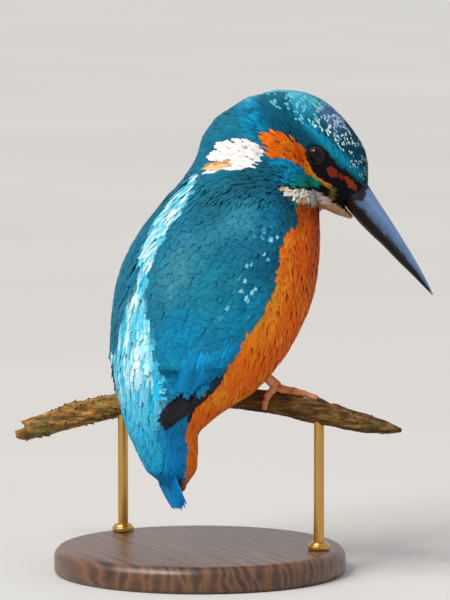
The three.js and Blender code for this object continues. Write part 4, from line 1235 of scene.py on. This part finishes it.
def plumage(name, roughness, sheen, barb_mm, spot_mm):
    """Feather vanes: soft and matt, with fine barbs; spot_mm is half the width of a marked tip."""
    made, tree, shader, _ = new_material(name,
        {"Roughness": roughness, "Sheen Weight": sheen, "Sheen Roughness": 0.4, "Specular IOR Level": 0.07})
    own = put(tree, "Attribute", attribute_name="Plumage").outputs["Color"]
    band = put(tree, "Attribute", attribute_name="Band").outputs
    vane = put(tree, "SeparateXYZ", {"Vector": put(tree, "UVMap", uv_map="Vane")}).outputs
    across = put(tree, "Math", {0: vane["X"]}, operation="ABSOLUTE")
    wide = put(tree, "Math", {0: across, 1: spot_mm}, operation="DIVIDE")
    wide = put(tree, "Math", {0: wide, 1: 2.0}, operation="POWER")
    long = put(tree, "Attribute", attribute_name="Along")
    long = put(tree, "Math", {0: long, 1: MARK_AT}, operation="SUBTRACT")
    long = put(tree, "Math", {0: long, 1: MARK_LONG}, operation="DIVIDE")
    off_middle = put(tree, "Math", {0: long, 1: long, 2: wide}, operation="MULTIPLY_ADD")
    within = put(tree, "MapRange", {"Value": off_middle, "From Min": 1.2, "From Max": 0.8})
    strength = put(tree, "Math", {0: within, 1: band["Alpha"]}, operation="MULTIPLY")
    marked = put(tree, "Mix", {"Factor": strength, "A": own, "B": band["Color"]}, data_type="RGBA")
    slanted = put(tree, "Math", {0: across, 1: -1.3, 2: vane["Y"]}, operation="MULTIPLY_ADD")
    turns = put(tree, "Math", {0: slanted, 1: 2 * math.pi / barb_mm}, operation="MULTIPLY")
    barbs = put(tree, "Math", {0: turns}, operation="SINE")
    shade = put(tree, "MapRange", {"Value": barbs, "From Min": -1.0, "To Min": 0.8, "To Max": 1.12})
    lit = put(tree, "Mix", {"Factor": 1.0, "A": marked, "B": shade}, data_type="RGBA",
        blend_type="MULTIPLY")
    relief = put(tree, "Bump", {"Height": barbs, "Distance": 0.04 * MM})
    feed(tree, shader, {"Base Color": lit, "Normal": relief})
    return made


def lay_feathers(name, line, lengths, half, material, slot, nodes, groups, seed, blunt=0.3,
        notch=0.62, thick=VANE_THICK, band=None, lift=0.0, wear=0.1, paint=None, free=None):
    """Vanes along middle lines on the coat, joined in one mesh with colours, vane and bake maps.

    Free ones lie off the coat, with this way out.
    """
    random = np.random.default_rng(1000 + seed)
    count = len(line)
    _, way, faces = nearest(line)
    if free is not None:
        way = np.broadcast_to(free, line.shape)
    ahead = unit(np.gradient(line, axis=1))
    way = unit(way - ahead * (way * ahead).sum(-1, keepdims=True))
    side = np.cross(ahead, way)
    lattice = np.stack([line - side * half[:, None, None], line, line + side * half[:, None, None]], axis=2)
    for edge in (0, 2) if free is None else ():
        near_coat = nearest(lattice[:, :, edge])[0]
        loose = 1 - smooth_step(lattice[:, :, edge, 2:3], *LOOSE_BELOW)
        lattice[:, :, edge] += (near_coat - lattice[:, :, edge]) * (1 - loose)
    depth = coat_depth(line[:, 0]) * random.uniform(0.85, 1.05, count) * (free is None)
    uv_root = skin_place(faces[:, 0], line[:, 0])
    if paint is None:
        paint = marking(line[:, -1] * 0.55 + line[:, 2] * 0.45)
    paint = paint * random.uniform(0.91, 1.09, (count, 1))
    band = np.zeros((count, 4)) if band is None else band
    lift = lift * random.uniform(0.2, 1.0, count) if np.isscalar(lift) else lift

    patterns = [vane_pattern(groups, random, blunt, notch) for _ in range(6)]
    chosen = random.integers(0, len(patterns), count)
    made = []
    used = 0
    for number, (corners, vane_faces) in enumerate(patterns):
        mine = np.flatnonzero(chosen == number)
        if not len(mine):
            continue
        u, t, under = corners.T
        station = np.clip(t, 0, 1.06) * STEPS
        low_step = np.clip(np.floor(station).astype(int), 0, STEPS - 1)
        rest = station - low_step
        along_weight = np.zeros((len(u), STEPS + 1))
        along_weight[np.arange(len(u)), low_step] = 1 - rest
        along_weight[np.arange(len(u)), low_step + 1] = rest
        across_weight = np.column_stack([u * (u - 1) / 2, 1 - u * u, u * (u + 1) / 2])
        at = np.einsum("pk,pj,fkjc->fpc", along_weight, across_weight, lattice[mine])
        outward = unit(np.einsum("pk,fkc->fpc", along_weight, way[mine]))
        rise = 1 - 0.92 * (1 - np.clip(t, 0, 1)) ** 1.9
        height = depth[mine, None] * (rise - 1) + lift[mine, None] * t**2
        height = height - EDGE_DROOP * half[mine, None] * u**2 - thick * under
        starts = used + np.arange(len(mine))[:, None, None] * len(u)
        used += len(mine) * len(u)
        # Darker roots: partly the downy bases, partly painted shade where each root lies under the vanes
        # above it.
        downy_and_shaded_root = (0.75 + 0.25 * smooth_step(t, 0.1, 0.6))[None, :, None]
        streak = 1 + wear * random.uniform(-1, 1, (len(mine), len(u), 1)) * (np.abs(u) > 0.1)[None, :, None]
        made.append(((at + outward * height[..., None]).reshape(-1, 3),
                (vane_faces[None] + starts).reshape(-1, 3),
                (paint[mine][:, None] * downy_and_shaded_root * streak).reshape(-1, 3),
                np.repeat(band[mine], len(u), axis=0), np.tile(t, len(mine)),
                np.stack([u * half[mine, None], t * lengths[mine, None]], axis=-1).reshape(-1, 2),
                (uv_root[mine, None] + EVEN * np.column_stack([u * 0.5, t - 0.5])[None]).reshape(-1, 2)))
    points, faces, paint, band, along, vane_uv, bake_uv = (np.concatenate(several)
        for several in zip(*made))
    data = bpy.data.meshes.new(name)
    data.vertices.add(len(points))
    data.vertices.foreach_set("co", (points * MM).ravel())
    data.loops.add(faces.size)
    data.loops.foreach_set("vertex_index", faces.ravel())
    data.polygons.add(len(faces))
    data.polygons.foreach_set("loop_start", np.arange(0, faces.size, 3))
    data.polygons.foreach_set("use_smooth", [False] * len(faces))
    data.update(calc_edges=True)
    set_colours(data, "Plumage", np.clip(paint, 0, 1))
    set_colours(data, "Band", band)
    mark(data, "Along", np.clip(along, 0, 1))
    for label, places in (("Vane", vane_uv), ("OFBake", np.clip(bake_uv, 0, 1))):
        data.uv_layers.new(name=label).data.foreach_set("uv", places[faces.ravel()].ravel())
    data.materials.append(material)
    return place(shown(name, data), slot, *nodes)


def grown(points, table):
    """A size at points from a table of (distance from the bill over the skin, size)."""
    return read(table, softened[coat_quads[nearest(points)[2]]].mean(1))


# distance from the bill over the skin, and the feathers' length or the room between their roots
LONG = [(0, 1.2), (4, 1.5), (9, 2.0), (18, 2.9), (30, 3.8), (44, 5.4), (58, 7.2), (80, 8.4)]
APART = [(0, 0.4), (4, 0.43), (9, 0.48), (18, 0.57), (30, 0.72), (44, 0.88), (58, 1.05), (80, 1.15)]


def on_head_side(points):
    return past_head(points) > 0


def clear_of_eyes(line):
    ahead, up, right = in_head(line)
    near = np.hypot(ahead + EYE_BACK, up - EYE_ABOVE) < EYE_OPEN - 0.05
    return ~(near & (np.abs(right) > 5)).any(axis=1)


def clear_of_bill(points):
    return np.linalg.norm(points - from_head(-2.0, 0.1, 0), axis=1) > 4.5


close_plumage = plumage("close head plumage", roughness=0.6, sheen=0.01, barb_mm=0.3, spot_mm=0.8)
# the cap's lower edge: ahead of the bill's base and above it
CAP_FROM = [(-38, -2.5), (-34, -1.5), (-28, 0.8), (-24, 3.2), (-19, 4.8), (-15, 6.2), (-9, 5.2), (-5, 4.4)]
for name, wanted, seed in (("coat_crown", lambda p: on_head_side(p) & (in_head(p)[1] >= 0.5), 1),
        ("coat_cheeks", lambda p: on_head_side(p) & (in_head(p)[1] < 0.5), 2)):
    random = np.random.default_rng(seed)
    roots, faces = scatter(lambda p: wanted(p) & clear_of_bill(p), lambda p: grown(p, APART), seed)
    lengths = grown(roots, LONG) * random.uniform(0.85, 1.15, len(roots))
    line = combed(roots, faces, lengths, random, yaw=9.0)
    keep = clear_of_eyes(line)
    line, lengths = line[keep], lengths[keep]
    ahead, up, right = in_head(line[:, -1])
    bright = random.random(len(line)) < 0.3 + 0.3 * smooth_step(ahead, -30, -18)
    bars = wobble(np.column_stack([ahead / 1.1, right / 1.5, up / 1.15]), 1.0, 9)
    cap = (up > read(CAP_FROM, ahead) + 0.6) & (ahead > -39) & (ahead < -0.5)
    forehead = smooth_step(ahead, -30, -18)
    barred = cap * (bars > 0.02 - 0.1 * (1 - forehead)) * random.uniform(0.75, 1.0, len(line))
    tone = over("#6fcad8", over("#8fd8e4", "#e4f6f8", bright), forehead)
    band = np.column_stack([tone, barred])
    lay_feathers(name, line, lengths, lengths * 0.17, close_plumage, "crown_feathers", ["head"],
        groups=3, seed=seed, band=band)


# ---------------------------------------------------------------------------- Neck and body feathers
# Contour feathers: longer and looser than the head's, downy at their roots and lapped like tiles from
# the neck to the tail. The belly's are the softest.
WING_EDGES = [(45, 48.5, 52), (47, 45, 55.5), (51, 42, 63), (55, 38, 70), (59, 35, 75), (64, 30, 77),
    (68, 25, 80), (73, 21, 86), (80, 18, 93), (85, 15, 99), (91, 13, 99.5), (97, 12, 101), (102, 13, 107),
    (106, 17, 105), (109, 26, 96)]


def on_wing(points, inset=0.0):
    """Which points lie on a folded wing, inset degrees inside its edges."""
    turn, height = round_body(points)
    turn = np.abs(turn)
    heights, upper, lower = np.transpose(WING_EDGES)
    within = turn > np.interp(height, heights, upper) + inset
    within &= turn < np.interp(height, heights, lower) - inset
    return within & (height > 45) & (height < 109) & (past_neck(points) < 0)


def on_neck(points):
    return ~on_head_side(points) & (past_neck(points) > 0)


def on_trunk(points):
    return (past_neck(points) <= 0) & ~on_wing(points, 5) & ~on_head_side(points)


def on_breast(points):
    return on_trunk(points) & (np.abs(round_body(points)[0]) > 75)


silky_plumage = plumage("silky body plumage", roughness=0.65, sheen=0.02, barb_mm=0.4, spot_mm=1.0)
bright_plumage = plumage("bright back plumage", roughness=0.55, sheen=0.02, barb_mm=0.4, spot_mm=1.0)
under = ["trunk", "thigh_right", "thigh_left"]
# name, where they grow, finish, nodes, seed, and half width as a share of the length
COAT_AREAS = [
    ("neck", on_neck, close_plumage, ["neck"], 3, 0.2),
    ("breast", lambda p: on_breast(p) & (p[:, 2] > 74), silky_plumage, ["trunk"], 4, 0.16),
    ("belly", lambda p: on_breast(p) & (p[:, 2] <= 74), silky_plumage, under, 5, 0.15),
    ("back", lambda p: on_trunk(p) & ~on_breast(p), bright_plumage, ["trunk"], 6, 0.135),
]
for name, wanted, finish, nodes, seed, slim in COAT_AREAS:
    random = np.random.default_rng(seed)
    roots, faces = scatter(wanted, lambda p: grown(p, APART), seed)
    lengths = grown(roots, LONG) * random.uniform(0.85, 1.2, len(roots))
    lengths = np.where(roots[:, 2] < 40, lengths * 0.85, lengths)
    line = combed(roots, faces, lengths, random, yaw=8.0)
    keep = off_branch(line, 0.3) & (line[:, -1, 2] > 23.5)
    line, lengths = line[keep], lengths[keep]
    slot = "mantle_feathers" if name == "neck" else "body_feathers"
    lay_feathers(f"coat_{name}", line, lengths, lengths * slim, finish, slot, nodes, groups=4, seed=seed,
        wear=0.08, lift=0.08)


# ---------------------------------------------------------------------------- Wing coverts
# Rows of stiffer feathers lapped down the folded wing, small at its bend and longer below. Those near
# the bend end in a small bright spot.
WING_TIP = np.array([12.0, 18.5, 42.0])  # of the left wing; the right one is its mirror image


def along_wing(side):
    """The lie of a wing's feathers: towards its tip, over the coat."""

    def way(points, out):
        ahead = WING_TIP * (-side, 1, 1) - points
        return unit(ahead - out * (ahead * out).sum(1, keepdims=True))

    return way


def wing_places(side, turn, height):
    """Points of the coat's outside at degrees round the body and heights."""
    turn, height = np.broadcast_arrays(np.asarray(turn, float), np.asarray(height, float))
    middle = smooth_along(BODY_MIDDLE, 1, height.ravel())
    found = []
    for a, z, y in zip(np.radians(turn.ravel()), height.ravel(), middle):
        way = (-side * math.sin(a), math.cos(a), 0.0)
        hit = coat.ray_cast((0.0, y, z), way)[0]
        found.append(hit[:] if hit else (way[0] * 20, y + way[1] * 20, z))
    return np.array(found).reshape(*turn.shape, 3)


stiff_plumage = plumage("wing covert plumage", roughness=0.55, sheen=0.01, barb_mm=0.45, spot_mm=0.5)
for side, name in ((1, "right"), (-1, "left")):
    random = np.random.default_rng(20 + side)
    roots, faces = scatter(lambda p: on_wing(p, -1) & (p[:, 0] * side < 0) & (p[:, 2] > 61),
        lambda p: np.interp(p[:, 2], (61, 84, 100), (1.4, 1.1, 0.92)), 8 + side)
    lengths = np.interp(roots[:, 2], (61, 84, 100), (9.4, 7.0, 5.4)) * random.uniform(0.9, 1.15, len(roots))
    line = combed(roots, faces, lengths, random, yaw=6.0, turn_to=along_wing(side))
    turn, height = np.abs(round_body(line[:, -1]))
    pick = random.random(len(line))
    outer = smooth_step(turn + 0.5 * (90 - height), 68, 78) * smooth_step(height, 73, 78)
    outer = outer * (turn < read(ORANGE_FROM, height) - 4)
    clumped = wobble(line[:, -1], 3.0, 12) > 0.0
    spotted = 0.95 * ((pick < 0.34) & clumped) * outer * (1 - smooth_step(height, 98, 102))
    lay_feathers(f"coat_wing_{name}_coverts", line, lengths, lengths * 0.23, stiff_plumage,
        "wing_feathers", [f"wing_{name}"], groups=4, seed=8 + side, blunt=0.4, wear=0.06,
        band=np.column_stack([over("#8fdcf0", "#4fc3e4", pick < 0.15), spotted]),
        lift=np.interp(roots[:, 2], (61, 66, 71), (1.5, 1.0, 0.05)))


# ---------------------------------------------------------------------------- Flight feathers
# The long quills of the folded wing: the inner ones blue on their outer webs and lapped over the
# black-brown primaries, whose tips reach past them.
quill_plumage = plumage("flight feather vanes", roughness=0.5, sheen=0.01, barb_mm=0.55, spot_mm=1.0)
PRIMARIES, SECONDARIES = 9, 16
# root and tip as degrees round the body and height, half width, how far out it lies, and colour
quills = []
for k in np.linspace(0, 1, PRIMARIES):
    tip = 50.0 - 5.5 * math.sin(math.pi * (0.2 + 0.6 * k))
    quills.append((92 - 30 * k, 74 - 6 * k, 64 - 14 * k, tip, 2.1, 0.24 * k - 0.45, "#26262e"))
for k in np.linspace(0, 1, SECONDARIES):
    tip = 61.5 - 9 * k**0.6
    quills.append((88 - 62 * k, 84 - 4 * k, 74 - 34 * k, tip, 2.6, 0.675 * k - 0.35, "#0a86bc"))
root_turn, root_height, tip_turn, tip_height, half, out, codes = zip(*quills)
k = np.linspace(0, 1, STEPS + 1)
turns = np.linspace(root_turn, tip_turn, STEPS + 1, axis=1) + np.sin(math.pi * k) * 2.0
heights = np.linspace(root_height, tip_height, STEPS + 1, axis=1)
for side, name in ((1, "right"), (-1, "left")):
    line = wing_places(side, turns, heights)
    lengths = np.linalg.norm(np.diff(line, axis=1), axis=2).sum(1)
    random = np.random.default_rng(40 + side)
    paint = code_colours(*codes) * random.uniform(0.8, 1.25, (len(line), 1))
    lay_feathers(f"coat_wing_{name}_quills", line, lengths, np.array(half), quill_plumage,
        "flight_feathers", [f"wing_{name}_flight", f"wing_{name}"], groups=36, seed=60 + side,
        blunt=0.6, notch=0.94, lift=np.array(out) + 0.9, paint=paint, wear=0.05)


# ---------------------------------------------------------------------------- Tail
# Twelve short quills, closed to a narrow round-tipped fan, the middle pair uppermost. Their blue is
# deeper than the rump's.

# height, middle and half width of the closed tail
TAIL_RINGS = [(18.8, 7.2, 3.6), (19.6, 7.3, 5.6), (21.4, 7.6, 6.5), (25, 8.4, 6.0), (30, 9.8, 5.0),
    (35, 11.6, 4.2)]
TAIL_QUILLS, TAIL_LONG, TAIL_HALF = 12, 17.0, 2.4
tail_plumage = plumage("tail feather vanes", roughness=0.5, sheen=0.01, barb_mm=0.55, spot_mm=1.0)
random = np.random.default_rng(77)
line = []
for across in np.linspace(-1, 1, TAIL_QUILLS):
    order = abs(across)
    heights = np.linspace(36, 18.6 + 1.9 * order**2.2, STEPS + 1)
    middle, wide = (smooth_along(TAIL_RINGS, i, heights) for i in (1, 2))
    back = middle + 0.9 + 2.2 * smooth_step(heights, 19, 27) - 0.91 * order
    line.append(np.column_stack([across * np.maximum(wide - 1.6, 3.6), back, heights]))
paint = code_colours("#0a90dc") * random.uniform(0.85, 1.15, (TAIL_QUILLS, 1))
lay_feathers("coat_tail_quills", np.array(line), np.full(TAIL_QUILLS, TAIL_LONG),
    np.full(TAIL_QUILLS, TAIL_HALF), tail_plumage, "tail_feathers", ["tail"], groups=36, seed=90,
    blunt=0.6, notch=0.94, thick=1.0, lift=np.zeros(TAIL_QUILLS), wear=0.06, paint=paint,
    free=unit(np.array([0, 1.0, 0.25])))


# ---------------------------------------------------------------------------- Bill
# A dagger of horn over bone, in two halves that meet at the mouth line. The upper one has a ridge
# along its top and a narrow nostril near its base.

# distance from the face, height of the ridge, depth of the keel and half the width
BILL_FORM = [(-5, 3.6, 3.6, 3.2), (0, 4.6, 4.4, 4.3), (5, 4.15, 4.3, 3.8), (11.5, 3.65, 3.6, 3.0),
    (16, 3.25, 2.8, 2.5), (22, 2.6, 2.1, 1.9), (28.5, 1.75, 1.15, 1.3), (34.2, 0.7, 0.45, 0.6),
    (36.3, 0.25, 0.2, 0.3)]
MOUTH_LINE = [(-5, -2.1), (0, -1.8), (11.5, -1.0), (22, -0.3), (28.5, 0.0), (34.2, 0.08), (36.3, 0.02)]
SQUARENESS = 1.55  # 2 is an ellipse, and less is nearer a diamond
MOUTH_GAP = 0.07
BILL_LONG, BILL_SIDES = 36.3, 41
NOSTRIL = (3.6, 1.1, 1.9, 0.42, 0.45)  # ahead, up, half length, half height and depth


def bill_half(name, upper):
    """One half of the bill, closed along its flat inner face, with how far up each point is."""
    stations = np.concatenate([np.linspace(-4.8, 12, 70), np.linspace(12.3, BILL_LONG, 60)])
    rings = []
    for t in stations:
        up, low, wide = (smooth_along(BILL_FORM, c, t) for c in (1, 2, 3))
        line = smooth_along(MOUTH_LINE, 1, t) + (MOUTH_GAP if upper else -MOUTH_GAP)
        line = min(line, up - 0.06) if upper else max(line, -low + 0.06)
        start = math.asin(math.copysign(
                min(1, abs(line) / (up if line > 0 else low)) ** (SQUARENESS / 2), line))
        ends = (start, math.pi - start) if upper else (math.pi - start, 2 * math.pi + start)
        a = np.linspace(*ends, BILL_SIDES)
        tall = np.where(np.sin(a) > 0, up, low)
        height = np.sign(np.sin(a)) * np.abs(np.sin(a)) ** (2 / SQUARENESS) * tall
        reach = np.sign(np.cos(a)) * np.abs(np.cos(a)) ** (2 / SQUARENESS) * wide
        if upper:
            ahead, rise, long, tall_half, deep = NOSTRIL
            pit = np.exp(-((((t - ahead) / long) ** 2 + ((height - rise) / tall_half) ** 2) ** 2))
            reach = reach - np.sign(reach) * deep * pit
            reach = reach * (1 + 0.03 * np.exp(-(((height - line) / 0.5) ** 2)))
        else:
            reach = reach * 0.965
        rings.append(from_head(np.full(BILL_SIDES, t), height, reach))
    made = make_mesh(name, *loft(rings), bill_horn)
    at = points_of(made.data)
    ahead, up, _ = in_head(at)
    line = smooth_along(MOUTH_LINE, 1, ahead)
    top = smooth_along(BILL_FORM, 1, ahead)
    mark(made.data, "Ridge", np.clip((up - line) / (top - line), -1, 1))
    mark(made.data, "Tip", ahead / BILL_LONG)
    sooty = smooth_step(3.6 - ahead - 0.9 * np.abs(up - 1.6) + 0.5 * wobble(at, 0.8, 5), 0, 0.7)
    mark(made.data, "Sooty", sooty)
    return made


# Bill horn: dense black keratin, blackest round the nostril, with fine lines along it, a worn pale tip
# and a satin gloss. The slate blue along its top is a painted reflection of the sky.
bill_horn, tree, shader, place_in = new_material("bill horn", {"IOR": 1.5, "Specular IOR Level": 0.35})
ridge, tip, sooty = (put(tree, "Attribute", attribute_name=name) for name in ("Ridge", "Tip", "Sooty"))
lengthwise = put(tree, "Mapping",
    {"Vector": place_in, "Rotation": (0, BILL_DOWN, -HEADING - math.pi / 2),
        "Scale": (8.0, 1.0, 1.0)}, vector_type="TEXTURE")
lines = put(tree, "TexNoise", {"Vector": lengthwise, "Scale": 1400.0, "Detail": 3.0})
cloudy = put(tree, "TexNoise", {"Vector": place_in, "Scale": 420.0, "Detail": 4.0})
edge = put(tree, "Math", {0: cloudy, 1: 0.4, 2: ridge}, operation="MULTIPLY_ADD")
pointed = put(tree, "Math", {0: tip, 1: -0.24, 2: edge}, operation="MULTIPLY_ADD")
streaked = put(tree, "Math", {0: lines, 1: 0.25, 2: pointed}, operation="MULTIPLY_ADD")
# painted reflection: the ramp runs from black below to slate blue towards the top of the bill
painted_sky_reflection_stops = [(0.3, "#0b0b0e"), (0.46, "#121319"), (0.52, "#2c4054"), (0.7, "#45607f"), (0.95, "#54709a"),
    (1.3, "#5f7ca4")]
painted_sky_reflection = put(tree, "ValToRGB", {"Fac": streaked}, painted_sky_reflection_stops)
sooted = put(tree, "Mix", {"Factor": sooty, "A": painted_sky_reflection, "B": linear("#0c0c10")}, data_type="RGBA")
worn = put(tree, "MapRange", {"Value": tip, "From Min": 0.95, "From Max": 0.985})
horn_colour = put(tree, "Mix", {"Factor": worn, "A": sooted, "B": linear("#83878c")}, data_type="RGBA")
gloss = put(tree, "MapRange", {"Value": lines, "To Min": 0.35, "To Max": 0.55})
relief = put(tree, "Bump", {"Height": lines, "Distance": 0.05 * MM})
feed(tree, shader, {"Base Color": horn_colour, "Normal": relief, "Roughness": gloss})
for half in ("upper", "lower"):
    place(bill_half(f"bill_{half}_horn", half == "upper"), "bill_horn", f"bill_{half}")


# ---------------------------------------------------------------------------- Eyes
# The eyes are near black: a wide pupil in a dark brown iris, under a clear wet cornea that stands a
# little proud of the ball.

# Living cornea over a dark iris: mirror smooth and wet, so that it shows one small bright light.
wet_eye, tree, shader, place_in = new_material("wet dark eye",
    {"Roughness": 0.03, "IOR": 1.38, "Specular IOR Level": 0.3})
iris = put(tree, "Attribute", attribute_name="Iris")
fibres = put(tree, "TexNoise", {"Vector": place_in, "Scale": 2500.0, "Detail": 2.0})
ringed = put(tree, "Math", {0: fibres, 1: 0.06, 2: iris}, operation="MULTIPLY_ADD")
iris_tones = [(0.3, "#020202"), (0.36, "#0e0805"), (0.55, "#170d08"), (0.68, "#050404")]
feed(tree, shader, {"Base Color": put(tree, "ValToRGB", {"Fac": ringed}, iris_tones)})

CORNEA_PROUD, CORNEA_SPREAD = 0.16, 0.55  # millimetres, and an angle from the eye's middle
EYE_SIDES = 48
slants = np.linspace(0.03, math.pi - 0.03, 40)
radii = EYE_RADIUS + CORNEA_PROUD * np.exp(-((slants / CORNEA_SPREAD) ** 2))
for side, name in ((1, "right"), (-1, "left")):
    middle, *ways = eye_frame(side)
    eye = make_mesh(f"eye_{name}_ball", *ball(middle, ways, slants, radii, EYE_SIDES), wet_eye)
    from_front = np.arccos(np.clip(unit(points_of(eye.data) - middle) @ ways[0], -1, 1))
    mark(eye.data, "Iris", np.clip(from_front / math.asin(EYE_OPEN / EYE_RADIUS) * 0.62, 0, 1))
    place(eye, "eye", f"eye_{name}")


# ---------------------------------------------------------------------------- Floor, light and camera
# The model stands on a plain pale floor in soft studio light: one wide softbox, a sun for daylight,
# and an even pale surround.
FLOOR_HALF = 4000
floor_corners = [(x * FLOOR_HALF, y * FLOOR_HALF, 0) for x, y in ((-1, -1), (1, -1), (1, 1), (-1, 1))]
# Matt paper: pale and even, with no shine.
paper, tree, shader, place_in = new_material("pale matt paper",
    {"Roughness": 0.9, "Specular IOR Level": 0.2})
tone = put(tree, "TexNoise", {"Vector": place_in, "Scale": 3.0, "Detail": 2.0})
feed(tree, shader,
    {"Base Color": put(tree, "ValToRGB", {"Fac": tone}, [(0.3, "#c2c0bd"), (0.7, "#c7c5c2")])})
make_mesh("floor", floor_corners, [(0, 1, 2, 3)], paper, smooth=False)

world = bpy.data.worlds.new("surround")
world.use_nodes = True
feed(world.node_tree, world.node_tree.nodes["Background"], {"Color": linear("#e4e6ea"), "Strength": 0.85})
bpy.context.scene.world = world

VIEW_TURN, VIEW_UP = math.radians(240), math.radians(6)
view_right = np.array([math.cos(VIEW_TURN), math.sin(VIEW_TURN), 0])
view_back = np.array([math.sin(VIEW_TURN) * math.cos(VIEW_UP),
        -math.cos(VIEW_TURN) * math.cos(VIEW_UP), math.sin(VIEW_UP)])
view_up = np.cross(view_back, view_right)


def looking(name, data, at, to):
    """Adds a light or camera at a point, looking at another."""
    made = shown(name, data)
    made.location = Vector(at) * MM
    made.rotation_euler = (Vector(to) - Vector(at)).to_track_quat("-Z", "Y").to_euler()
    return made


BIRD_MIDDLE = (0, -8, 80)
sun = bpy.data.lights.new("daylight", "SUN")
sun.angle = 0.7
softbox = bpy.data.lights.new("softbox", "AREA")
softbox.size = 130 * MM
# each light, its place as right, up and back of the view, its strength and its colour
for lamp, (right, up, back), strength, code in ((sun, (-500, 620, 420), 2.4, "#fffaf2"),
        (softbox, (-260, 420, 520), 1.5, "#ffffff")):
    lamp.energy, lamp.color = strength, linear(code)[:3]
    looking(lamp.name, lamp, BIRD_MIDDLE + right * view_right + up * view_up + back * view_back,
        BIRD_MIDDLE)

PICTURE_TALL = 174.0  # millimetres from the picture's top to its bottom, at the bird
FAR_BACK = 1500.0
target = 7.25 * view_right + 78.3 * view_up - 8.0 * view_back
lens = bpy.data.cameras.new("camera")
lens.sensor_fit = "VERTICAL"
lens.sensor_height = 36.0
lens.lens = 36.0 * FAR_BACK / PICTURE_TALL
lens.clip_end = 20.0
camera = looking("camera", lens, target + FAR_BACK * view_back, target)
bpy.context.scene.camera = camera
bpy.context.scene.view_settings.view_transform = "Standard"
